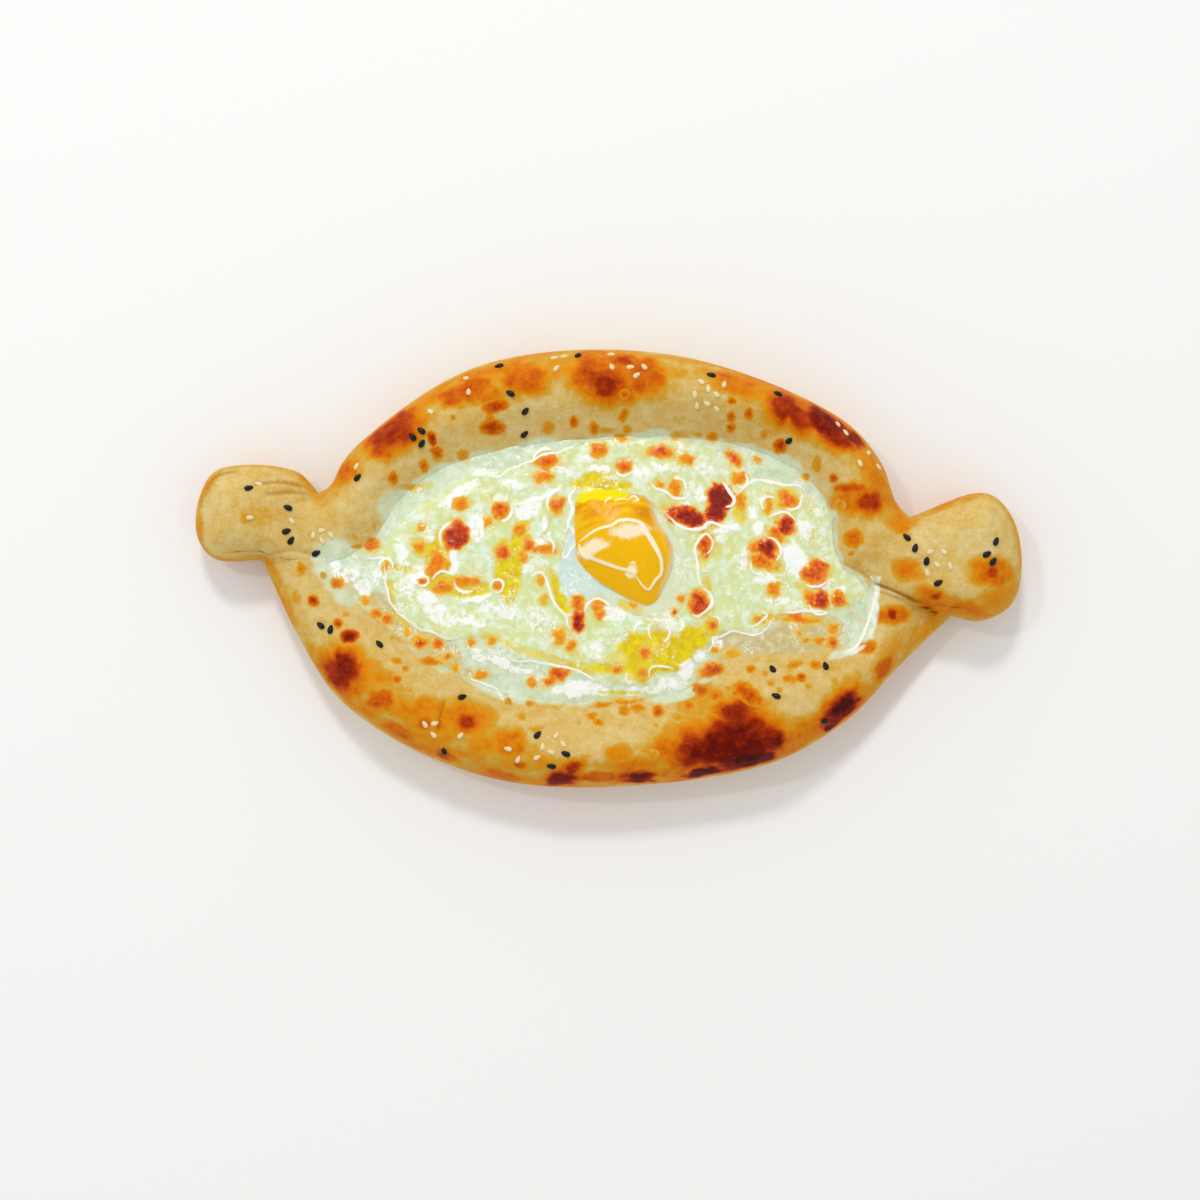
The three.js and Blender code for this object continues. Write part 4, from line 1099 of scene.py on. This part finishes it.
def paint_wet_layers(s, grain, curdled):
    """Butter, froth, blisters, and painted highlights as white lines and glints on the filling."""
    butter, curd_and_glare = s.value("butter"), s.value("curd_and_glare")
    soaked = s.sum(butter, (curdled, 0.5))
    yellow = s.mix(s.step(s.noise(3.0, 3), 0.4, 0.6), (236, 218, 0), (222, 190, 0))
    s.paint(s.ramp(soaked, [(0.1, 0.0), (0.45, 0.55), (0.75, 1.0)]), yellow)
    s.paint(s.step(s.value("spot"), 0.0, 0.5, 0.7), (228, 200, 60))
    # White froth and set egg white, in places a painted highlight.
    frothy = s.sum(curd_and_glare, (s.swing(2.4, 4, 0.6), 1.6))
    lace = s.step(s.sum(s.noise(1.7, 2, 0.5, 0.8), (curd_and_glare, 0.35)), 0.58, 0.68)
    froth = s.times(s.step(frothy, 0.15, 0.5, 0.95), lace)
    froth = s.times(froth, s.step(butter, 0.25, 0.7, 0.1, 1.0))
    s.paint(froth, (252, 255, 250))
    # Painted glints: thin white squiggles where the wet cheese would shine.
    glint_vein = s.maths("ABSOLUTE", s.swing(2.6, 2, 0.5, 1.2))
    room = s.step(s.sum(s.noise(7.0, 2), (curd_and_glare, 0.25)), 0.5, 0.6)
    painted_glints = s.times(s.ramp(glint_vein, [(0.0, 1.0), (0.012, 0.9), (0.03, 0.0)]), room)
    s.paint(painted_glints, (255, 255, 246))
    paint_blisters(s, grain, (238, 178, 34), 1.0, CHEESE_BROWNING, 0.5)
    # Painted highlight: white lines on the film's edges and round the blisters.
    s.paint(highlight_line(s, grain), (255, 255, 248))


def cheese_material():
    s = Shader("melted_cheese", Roughness=0.35, Specular_IOR_Level=0.1, Coat_Roughness=0.05, **WET_COAT)
    grain = s.swing(0.8, 3, 0.6)
    curdled = s.swing(2.6, 3, 0.5)
    body = s.step(s.sum(s.value("body"), (grain, 0.25)), 0.44, 0.54)
    thick = s.mix(s.step(s.noise(8.0, 4, 0.6, 0.4), 0.4, 0.6), (222, 233, 174), (221, 240, 212))
    thick = s.mix(s.step(curdled, 0.0, 0.18, 0.5), thick, (243, 252, 238))
    thick = s.mix(s.step(curdled, -0.2, -0.03, 0.0, 0.4), thick, (212, 220, 130))
    thick = s.mix(s.step(s.noise(5.0, 3, 0.6), 0.5, 0.72, 0.45), thick, (224, 204, 122))
    crumb = s.mix(s.step(curdled, -0.15, 0.15), (210, 190, 130), (227, 216, 172))
    doughy = s.step(s.sum(s.value("doughy"), (curdled, 0.9)), 0.1, 0.85, 0.95)
    thin = s.mix(doughy, lit_film(s), crumb)
    s.colour = s.mix(body, thin, thick)
    paint_wet_layers(s, grain, curdled)
    relief = s.bump(s.sum((s.noise(2.6, 3, 0.5), 0.7), (s.noise(0.8, 2), 0.3)), 0.5, 0.8)
    return s.finish(relief, 0.12, 0.004, 0.004, 0.003)


def white_material():
    s = Shader("egg_white", Roughness=0.3, Specular_IOR_Level=0.1, Coat_Roughness=0.04, **WET_COAT)
    grain = s.swing(0.8, 3, 0.6)
    curdled = s.swing(1.8, 3, 0.6)
    s.colour = s.mix(s.value("cool"), (222, 230, 190), (208, 230, 220))
    s.paint(s.step(curdled, 0.0, 0.18, 0.5), (236, 243, 226))
    paint_wet_layers(s, grain, curdled)
    return s.finish(s.bump(s.noise(3.0, 2), 0.4, 0.6), 0.15, 0.004, 0.005, 0.005)


def yolk_material():
    s = Shader("egg_yolk", Roughness=0.4, Specular_IOR_Level=0.05, Coat_Weight=0.2, Coat_Roughness=0.08,
               Coat_IOR=1.4)
    grain = s.swing(0.8, 3, 0.6)
    loose = s.value("loose")
    # Painted light and shade of the wrinkles: lighter on their crests, darker in their hollows.
    wrinkle_shading_colour = s.mix(s.value("wrinkle_shading"), (226, 142, 0), (252, 200, 18))
    s.colour = s.mix(loose, (244, 186, 8), wrinkle_shading_colour)
    buttery = s.step(s.sum(s.value("butter"), (grain, 0.3)), 0.3, 0.6)
    s.paint(buttery, (246, 228, 0))
    # Painted highlight: creamy white patches on the yolk.
    highlight_cream = s.sum(s.value("highlight_cream"), (grain, 1.2), (s.swing(2.4, 3), 0.8))
    s.paint(s.ramp(highlight_cream, [(0.2, 0.0), (0.5, 0.5), (0.8, 0.95)]), (254, 238, 200))
    s.paint(s.step(s.value("veil"), 0.2, 0.9, 0.75), (224, 214, 176))
    # Painted highlight: pale lines and glints on the yolk.
    s.paint(highlight_line(s, grain), (255, 244, 214))
    relief = s.bump(s.times(s.noise(1.6, 3), loose), 0.3, 0.6)
    return s.finish(relief, 0.1, 0.004, 0.002, 0.001)


def seed_material(name, dark, light):
    s = Shader(name, Roughness=0.4, Specular_IOR_Level=0.25)
    s.set("Base Color", s.mix(s.noise(1.2, 3), dark, light))
    s.set("Normal", s.bump(s.noise(0.4, 2), 0.08, 0.5))
    return s.material


# ------------------------------------------------------------------ the bread

UNROLL_RADIUS = 16.0  # of the rolled edge, seen in section
SIDE_RADIUS = 8.2  # of the rounding below it
BASE_SHARES = [0.985, 0.9, 0.5]  # where the rows of the flat base lie, from its foot to its middle line
HOLLOW_END = 0.5  # how far towards the middle line the rows under the cheese go
RIM_EASE = 3.0  # how far in from the edge the fine relief reaches its full height
CREASE_SHADE_EASE = (0.5, 4.0)  # and the same of the painted shade in the folds


def unrolled(flat, inward, extra):
    """Places moved outward by what the slope adds to their distance, so that no pattern is drawn out."""
    return (flat - inward * extra[:, None]).T


def under_rows():
    """The dough's underside and its rounded lower edge: the rows, and the same rows unrolled."""
    inward = inward_of(edge)
    foot = edge + inward * UNDERCUT
    crest = UNROLL_RADIUS * math.pi / 2 - ROLL
    flat = rows_between(foot, inner, BASE_SHARES)
    rows = [np.column_stack([row, np.zeros(len(row))]) for row in flat]
    for turn in np.linspace(0, math.pi / 2, UNDER_ROWS, endpoint=False):
        row = foot + (edge - foot) * math.sin(turn)
        extra = crest + SIDE_RADIUS * (math.pi / 2 - turn) + UNDERCUT * (1 - math.sin(turn))
        flat.append(row - inward * extra)
        rows.append(np.column_stack([row, np.full(len(row), EDGE_Z * (1 - math.cos(turn)))]))
    return rows, np.vstack(flat)


def make_bread(material):
    under, under_flat = under_rows()
    inward = inward_of(edge)
    depths = RIM_WIDTH * (1 - np.cos(np.linspace(0, math.pi / 2, RIM_ROWS)))
    flat = [edge + inward * depth for depth in depths]
    flat += rows_between(flat[-1], shore, np.linspace(0, 1, SLOPE_ROWS)[1:])
    flat += rows_between(shore, inner, np.linspace(0, HOLLOW_END, HOLLOW_ROWS)[1:])
    count = len(edge)
    all_inward = np.tile(inward, (len(flat), 1))
    flat = np.vstack(flat)
    x, y = flat.T
    edge_in = distance_to(coarse_edge, x, y)
    edge_in[: RIM_ROWS * count] = np.repeat(depths, count)
    shore_out = -shore_in_at(x, y)
    slant = np.arccos(1 - np.minimum(edge_in / ROLL, 1))
    extra = UNROLL_RADIUS * (math.pi / 2 - slant) - ROLL * np.cos(slant)
    at = (x, y, *unrolled(flat, all_inward, extra))
    spot, toast = blisters_at(at, CRUST_BLISTERS, 0.3, 31)
    film = film_at(at, shore_out)
    folds = folds_at(x, y)
    # The painted highlight lines, which also raise low ridges.
    lines = highlight_lines_at(x, y)
    relief = blister_rise(spot, CRUST_BLISTER_RISE, CRUST_BLISTER_ROUND) - folds
    relief = relief + CRUST_PORE_RISE * fractal(*at[2:], 2.6, 3, 71)
    filmy = film * (FILM_RISE + FILM_WAVE_RISE * fractal(x, y, 5.0, 3, 77))
    relief += CRUST_WAVE_RISE * fractal(*at[2:], 9.0, 2, 73) + filmy
    relief += CRUST_LINE_RISE * smoothstep(*LINE_FLANK, lines) * (film > 0.1)
    z = dough_form(x, y, edge_in, shore_out) + smoothstep(0.0, RIM_EASE, edge_in) * relief
    top = np.column_stack([x, y, z])
    rows = under + [top[k : k + count] for k in range(0, len(top), count)]
    # Painted shade in the folds, darker where they are deeper.
    crease_shading = clamp(folds / CREASE_SHADE_DEPTH) * smoothstep(*CREASE_SHADE_EASE, edge_in)
    marks = {
        "spot": spot, "toast": toast, "line": lines, "film": film, "crease_shade": crease_shading, "curd_and_glare": curd_and_glare_at(at),
    }
    below = np.zeros(len(under_flat))
    values = {key: np.concatenate([below, numbers]) for key, numbers in stored(marks).items()}
    values["browning"] = np.concatenate([side_browning(*under_flat.T), scorch_at(at, edge_in)])
    return skin("crust", rows, material, values)


# ------------------------------------------------------------------ the filling

# Sizes of the filling's own forms, in millimetres.
CHEESE_TUCK = 0.8  # how far the cheese runs on into the dough
CHEESE_FALL = 1.2  # how steeply it falls there
SHORE_EASE = 3.0  # how far in from the shoreline its fine relief reaches its full height
BODY_RISE = 0.5  # how far the thick cheese stands above the film
BODY_FLANK = (-0.6, 1.2)  # where it starts to rise and where it is at its height, in from its outline
BODY_REACH = 4.0  # how far from its outline the distance is worked out
END_CLOSENESS = 0.45  # how much closer together the columns of the cheese's grid stand at its ends
BASE_GAP = 0.5  # room between the floor of the hollow and the cheese's underside
BASE_DROP = 3.0  # how far the underside's rim lies below the shoreline, without that gap
BASE_CLIMB = (0.55, 1.0)  # between these shares of the way to its rim the underside rises
SEAT_LAP = 2.4  # how far the cheese laps over the egg white's rim
SEAT_WOBBLE = 1.2  # how uneven that rim is
SEAT_SLOPE = 5.0  # width of the slope into the seat
YOLK_LAP = 0.8  # how far the cheese laps over the yolk's rim
WHITE_RIM = 4.5  # width of the white's sloping rim
WHITE_RISE = 0.35  # height of the white's middle above the cheese
WHITE_FALL = 2.5  # how far its rim falls, in times that height
WHITE_WAVE = 0.2  # height of its gentle waves
WHITE_THICK = 1.2  # its thickness at the rim
WHITE_SINK, YOLK_SINK = 0.65, 0.4  # how much of their seats' depth the undersides of white and yolk take
WHITE_RELIEF = 0.6  # its fine relief, as a share of the cheese's
YOLK_SLOPE = 15.0  # width of the yolk's rounded shoulder
YOLK_LIFT, YOLK_THICK = 0.5, 0.3  # the yolk's rim above the cheese, and its underside below the white
YOLK_FOOT, YOLK_CURVE = 0.05, 0.9  # shares of its height at the rim and gained along the shoulder
TAUT_RISE, LOOSE_SINK = 0.4, 0.5  # how far the taut part stands out and the loose skin lies lower
# Heights of the wrinkles, and of the ridges under the yolk's painted highlight lines.
WRINKLE_RISE, YOLK_LINE_RISE = 0.4, 0.25
YOLK_LINE_FLANK = (-0.6, 0.2)
UNDER_SLOPE = 7.0  # width of the slope of the undersides of the white and the yolk
LENS_END = 0.985  # how far towards its centre a lens's rows go, before it is capped
LENS_UNDER_STEP = 6  # its underside has every sixth row


def ladder(loop, columns, rows):
    """Places on a grid that fills a loop. Its columns run from the loop's lower side to its upper side.

    They stand closer together towards the loop's ends, and the first and last keep just clear of them.
    """
    first, last = int(np.argmin(loop[:, 0])), int(np.argmax(loop[:, 0]))
    turned = np.roll(loop, -first, axis=0)
    split = (last - first) % len(loop)
    upper = turned[: split + 1]
    lower = np.vstack([turned[split:], turned[:1]])[::-1]
    even = np.linspace(0, 1, columns)
    share = (1 - END_CLOSENESS) * even + END_CLOSENESS * 0.5 * (1 - np.cos(math.pi * even))
    x = loop[first, 0] + (loop[last, 0] - loop[first, 0]) * (0.0005 + 0.999 * share)
    top = np.interp(x, upper[:, 0], upper[:, 1])
    bottom = np.interp(x, lower[:, 0], lower[:, 1])
    up = np.linspace(0, 1, rows)[:, None]
    return np.broadcast_to(x, (rows, columns)), bottom + (top - bottom) * up


def grid_faces(rows, columns, first, up):
    """Quads between the points of a grid that starts at the first point, facing up or down."""
    i = (np.arange(rows - 1)[:, None] * columns + np.arange(columns - 1)).ravel() + first
    corners = [i, i + 1, i + columns + 1, i + columns]
    return np.column_stack(corners if up else corners[::-1])


def side_faces(top_rows, base_rows, columns, first):
    """Faces that join the rim of the top grid to the rim of the base grid below it."""
    faces = []
    for top_row, base_row, turn in ((0, 0, 1), (top_rows - 1, base_rows - 1, -1)):
        a = top_row * columns + np.arange(columns)
        b = first + base_row * columns + np.arange(columns)
        for k in range(columns - 1):
            faces.append([b[k], b[k + 1], a[k + 1], a[k]][::turn])
    for column, turn in ((columns - 1, 1), (0, -1)):
        top_side = [row * columns + column for row in range(top_rows)]
        base_side = [first + row * columns + column for row in range(base_rows)]
        faces.append((base_side + top_side[::-1])[::turn])
    return faces


def make_cheese(material):
    wide = shore - inward_of(shore) * CHEESE_TUCK
    x, y = [part.ravel() for part in ladder(wide, CHEESE_COLUMNS, CHEESE_ROWS)]
    at = (x, y, x, y)
    shore_in = shore_in_at(x, y)
    body = how_far_in(cheese_body, x, y, BODY_REACH)
    marks = wet_marks(at)
    white_in = how_far_in(white_edge, x, y) - SEAT_LAP - SEAT_WOBBLE * fractal(x, y, 7.0, 2, 89)
    seat_in = np.maximum(white_in, how_far_in(yolk_edge, x, y) - YOLK_LAP)
    z = cheese_form(x, y, np.maximum(shore_in, 0)) + CHEESE_FALL * np.minimum(shore_in, 0)
    z -= WHITE_SEAT * smoothstep(0.0, SEAT_SLOPE, seat_in)
    thick = BODY_RISE * smoothstep(*BODY_FLANK, body)
    z += smoothstep(0, SHORE_EASE, shore_in) * (wet_relief(at, marks) + thick)
    top = np.column_stack([x, y, z])
    base_x, base_y = [part.ravel() for part in ladder(wide, CHEESE_COLUMNS, CHEESE_BASE_ROWS)]
    across = np.abs(np.linspace(-1, 1, CHEESE_BASE_ROWS)).repeat(CHEESE_COLUMNS)
    base_z = FLOOR_Z + BASE_GAP + (SHORE_Z - FLOOR_Z - BASE_DROP) * smoothstep(*BASE_CLIMB, across)
    base = np.column_stack([base_x, base_y, base_z])
    faces = grid_faces(CHEESE_ROWS, CHEESE_COLUMNS, 0, True).tolist()
    faces += grid_faces(CHEESE_BASE_ROWS, CHEESE_COLUMNS, len(top), False).tolist()
    faces += side_faces(CHEESE_ROWS, CHEESE_BASE_ROWS, CHEESE_COLUMNS, len(top))
    marks = stored(marks)
    marks["body"] = centred(body, BLISTER_REACH)
    marks["doughy"] = strongest(at, DOUGHY, 0.9, 401, -0.6, 0.5)
    values = {key: np.concatenate([numbers, np.zeros(len(base))]) for key, numbers in marks.items()}
    return make_object("melted_cheese", np.vstack([top, base]), faces, material, values)


def make_lens(name, loop, centre, rows, top, bottom, material, values):
    """A thin body between two heights inside a closed outline."""
    shares = LENS_END * (1 - np.cos(np.linspace(0, math.pi / 2, rows)))[:-1]
    upper = rows_between(loop, centre, shares)
    lower = upper[::LENS_UNDER_STEP][::-1]
    points = np.vstack(lower + upper)
    split = len(loop) * len(lower)
    z = np.concatenate([bottom(*points[:split].T), top(*points[split:].T)])
    solid = np.column_stack([points, z])
    stack = [solid[k : k + len(loop)] for k in range(0, len(solid), len(loop))]
    return skin(name, stack, material, values(*points.T))


def sunk(loop, x, y):
    """How far the underside inside a loop has sunk, as a share of its whole depth."""
    return roll(np.maximum(how_far_in(loop, x, y), 0) / UNDER_SLOPE)


def cheese_there(x, y):
    """The height of the cheese's form, without its seat for the egg."""
    return cheese_form(x, y, shore_in_at(x, y))


def white_top(x, y):
    """The white's upper side before its fine relief."""
    rim = 1 - smoothstep(0.0, WHITE_RIM, how_far_in(white_edge, x, y))
    return cheese_there(x, y) + WHITE_RISE * (1 - WHITE_FALL * rim) + WHITE_WAVE * fractal(x, y, 9.0, 2, 91)


def white_surface(x, y):
    """The white's upper side with its fine relief, which eases in from the rim."""
    at = (x, y, x, y)
    relief = WHITE_RELIEF * wet_relief(at, wet_marks(at))
    return white_top(x, y) + relief * smoothstep(0.5, 3.0, how_far_in(white_edge, x, y))


def white_bottom(x, y):
    return cheese_there(x, y) - WHITE_THICK - WHITE_SEAT * sunk(white_edge, x, y) * WHITE_SINK


def white_marks(x, y):
    """What the white's shader reads at each place. The white is cooler in colour towards the left."""
    marks = stored(wet_marks((x, y, x, y)))
    marks["cool"] = smoothstep(2.0, -8.0, x + 0.5 * y + 3 * fractal(x, y, 8.0, 2, 93))
    return marks


def from_taut(x, y):
    """The distance in from the outline of the yolk's taut part, as a negative number outside it."""
    return how_far_in(yolk_taut, x, y)


def loose_at(x, y):
    """Where the yolk's skin is loose: above and left of its taut part."""
    return smoothstep(0.3, 3.0, -from_taut(x, y)) * smoothstep(-5.0, 4.0, y - 0.25 * x)


def wrinkles_at(x, y):
    """Wrinkles that run round the taut part."""
    return fractal(0.22 * x, from_taut(x, y), 1.3, 3, 95)


def yolk_top(x, y):
    """The yolk's upper side: a low dome, taut in one part and wrinkled in the other."""
    inside = from_taut(x, y)
    share = clamp(how_far_in(yolk_edge, x, y) / YOLK_SLOPE)
    dome = YOLK_TOP * (YOLK_FOOT + YOLK_CURVE * share * (2 - share))
    loose = loose_at(x, y)
    # Ridges under the yolk's painted highlight lines.
    lines = smoothstep(*YOLK_LINE_FLANK, strokes_at(x, y, yolk_highlight_strokes))
    height = cheese_there(x, y) + YOLK_LIFT + dome + TAUT_RISE * smoothstep(-0.5, 1.0, inside)
    return height + WRINKLE_RISE * wrinkles_at(x, y) * loose - LOOSE_SINK * loose + YOLK_LINE_RISE * lines


def yolk_marks(x, y):
    """What the yolk's shader reads at each place."""
    at = (x, y, x, y)
    rim = smoothstep(3.0, -0.5, how_far_in(yolk_edge, x, y))
    return {
        "loose": loose_at(x, y),
        # lighter on the wrinkles' crests and darker in their hollows: painted light and shade
        "wrinkle_shading": clamp(0.5 + 0.9 * wrinkles_at(x, y)),
        # the painted highlight lines
        "line": centred(strokes_at(x, y, yolk_highlight_strokes), STROKE_REACH),
        # the painted highlight patches
        "highlight_cream": strongest(at, YOLK_HIGHLIGHT_PATCHES, 0.3, 301, -0.6, 0.6),
        "butter": strongest(at, YOLK_BUTTER, 0.2, 311),
        "veil": rim * smoothstep(2.0, 10.0, x + 0.4 * y - 8.0),
    }


def yolk_bottom(x, y):
    return white_top(x, y) - YOLK_THICK - YOLK_SEAT * YOLK_SINK * sunk(yolk_edge, x, y)


# ------------------------------------------------------------------ sesame

ABOVE_ALL = 60.0  # a height above the whole bread, from which the crust is felt for
FIRST_STATE, MULTIPLIER, MODULUS = 2024, 48271, 2147483647  # of the random draws


def draws():
    """Park and Miller's generator, as in the solids, so that the sesame lies where theirs does."""
    state = FIRST_STATE
    while True:
        state = state * MULTIPLIER % MODULUS
        yield state / MODULUS


def strewn():
    """(x, y, heading, is black) of each seed."""
    random = draws()
    places = []

    def is_free(x, y):
        spot = np.array([x]), np.array([y])
        return (
            how_far_in(edge, *spot).item() > SEED_FROM_EDGE
            and how_far_in(coarse_shore, *spot).item() < -SEED_LENGTH
            and all(math.hypot(other[0] - x, other[1] - y) > SEED_LENGTH for other in places)
        )

    for number, (cx, cy, *group) in enumerate(BLACK_GROUPS + PALE_GROUPS):
        count, spread = group or ONE_SEED
        for _ in range(count):
            for _ in range(SEED_TRIES):
                angle = next(random) * 2 * math.pi
                reach = math.sqrt(next(random)) * spread
                heading = next(random) * math.pi
                x, y = cx + reach * math.cos(angle), cy + reach * math.sin(angle)
                if is_free(x, y):
                    places.append((x, y, heading, number < len(BLACK_GROUPS)))
                    break
    return places


def seed_mesh(around=10, along=9):
    """A grain with one pointed end: its points, a row for each ring, and its faces."""
    points, faces = [], []
    for i in range(along + 1):
        turn = math.pi * i / along
        for k in range(around):
            spin = 2 * math.pi * k / around
            x = 0.5 * math.cos(turn)
            taper = (1 - SEED_TAPER * x) * math.sin(turn) * 0.5
            y, z = taper * SEED_WIDTH * math.cos(spin), taper * SEED_HEIGHT * math.sin(spin)
            points.append((x * SEED_LENGTH, y, z))
    for i in range(along):
        for k in range(around):
            a, b = i * around + k, i * around + (k + 1) % around
            faces.append((a, b, b + around, a + around))
    return np.array(points), np.array(faces)


def make_seeds(name, places, scale, proud, crust, material):
    """Seeds of one kind that lie on the crust, joined in one mesh."""
    grain, quads = seed_mesh()
    points, faces = [], []
    for x, y, heading, _ in places:
        above = Vector(to_frame([(x, y, ABOVE_ALL)])[0])
        _, spot, up, _ = crust.ray_cast(above, Vector((0, 0, -1)))
        ahead = Vector((math.cos(heading), math.sin(heading), 0))
        ahead = (ahead - up * ahead.dot(up)).normalized()
        axes = np.array([ahead, up.cross(ahead), up])
        centre = np.array(spot) * 1000 + np.array(up) * proud * SEED_HEIGHT
        centre[:2] += MIDDLE
        faces.append(quads + len(points) * len(grain))
        points.append(scale * grain @ axes + centre)
    return make_object(name, np.vstack(points), np.vstack(faces), material)


# ------------------------------------------------------------------ assembly

crust = make_bread(crust_material())
cheese = make_cheese(cheese_material())
white = make_lens("egg_white_film", white_edge, WHITE_CENTRE, WHITE_ROWS, white_surface, white_bottom,
                  white_material(), white_marks)
yolk = make_lens("soft_yolk", yolk_edge, YOLK_CENTRE, YOLK_ROWS, yolk_top, yolk_bottom,
                 yolk_material(), yolk_marks)
bpy.context.view_layer.update()
seeds = strewn()
black = [seed for seed in seeds if seed[3]]
pale = [seed for seed in seeds if not seed[3]]
black_grain = seed_material("black_seed", (6, 5, 7), (24, 22, 26))
pale_grain = seed_material("pale_seed", (226, 200, 140), (240, 226, 184))
black_sesame = make_seeds("black_sesame", black, 1.0, BLACK_PROUD, crust, black_grain)
pale_sesame = make_seeds("pale_sesame", pale, PALE_SCALE, PALE_PROUD, crust, pale_grain)

for piece in (crust, cheese, white, yolk, black_sesame, pale_sesame):
    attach(piece, "root")
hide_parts("bread")
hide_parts("cheese")
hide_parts("egg_white")
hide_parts("yolk")

# ------------------------------------------------------------------ floor, light and camera

FLOOR_HALF = 3.0  # metres
LIT_POINT = Vector((0.0, 0.0, 0.02))  # what both lamps shine on, in metres
# How bright the studio is from below (0) to straight overhead (1). It is darker overhead, so that no sheen
# greys what is seen from above.
STUDIO = [(0.0, 0.75), (0.5, 0.85), (0.75, 0.8), (0.92, 0.5), (1.0, 0.4)]


def make_floor():
    mesh = bpy.data.meshes.new("floor")
    corners = [(FLOOR_HALF * x, FLOOR_HALF * y, 0) for x, y in ((-1, -1), (1, -1), (1, 1), (-1, 1))]
    mesh.from_pydata(corners, [], [(0, 1, 2, 3)])
    s = Shader("pale_floor", Roughness=0.7, Specular_IOR_Level=0.2)
    s.set("Base Color", (245, 245, 243))
    mesh.materials.append(s.material)
    floor = add_object("floor", mesh)


def make_light(name, position, size, watts):
    """A rectangular lamp that shines on the bread. Lengths are metres."""
    data = bpy.data.lights.new(name, "AREA")
    data.shape = "RECTANGLE"
    data.size, data.size_y = size
    data.energy = watts
    light = add_object(name, data)
    light.location = position
    light.rotation_euler = (Vector(position) - LIT_POINT).to_track_quat("Z", "Y").to_euler()


def make_world():
    world = bpy.data.worlds.new("studio")
    world.use_nodes = True
    nodes, links = world.node_tree.nodes, world.node_tree.links
    split = nodes.new("ShaderNodeSeparateXYZ")
    links.new(nodes.new("ShaderNodeTexCoord").outputs["Generated"], split.inputs[0])
    fade = nodes.new("ShaderNodeValToRGB")
    links.new(split.outputs["Z"], fade.inputs[0])
    set_stops(fade.color_ramp, STUDIO)
    links.new(fade.outputs[0], nodes["Background"].inputs["Color"])
    nodes["Background"].inputs["Strength"].default_value = 1.0
    bpy.context.scene.world = world


def make_camera():
    data = bpy.data.cameras.new("camera")
    data.sensor_width = SENSOR_MM
    data.lens = SENSOR_MM * CAMERA_HEIGHT / (VIEW_PX * VIEW_MM_PER_PX / 1000)
    camera = add_object("camera", data)
    x, y = place(VIEW_PX / 2, VIEW_PX / 2)
    spot = to_frame([(x, y, VIEW_Z)])[0]
    camera.location = (spot[0], spot[1], spot[2] + CAMERA_HEIGHT)
    camera.rotation_euler = (0, 0, VIEW_TILT)
    bpy.context.scene.camera = camera


make_floor()
make_light("window", (-0.26, 1.32, 1.5), (0.32, 0.22), 12.0)
make_light("glint", (-0.9, 0.55, 1.6), (0.12, 0.12), 3.5)
make_world()
make_camera()
bpy.context.scene.view_settings.view_transform = "Standard"
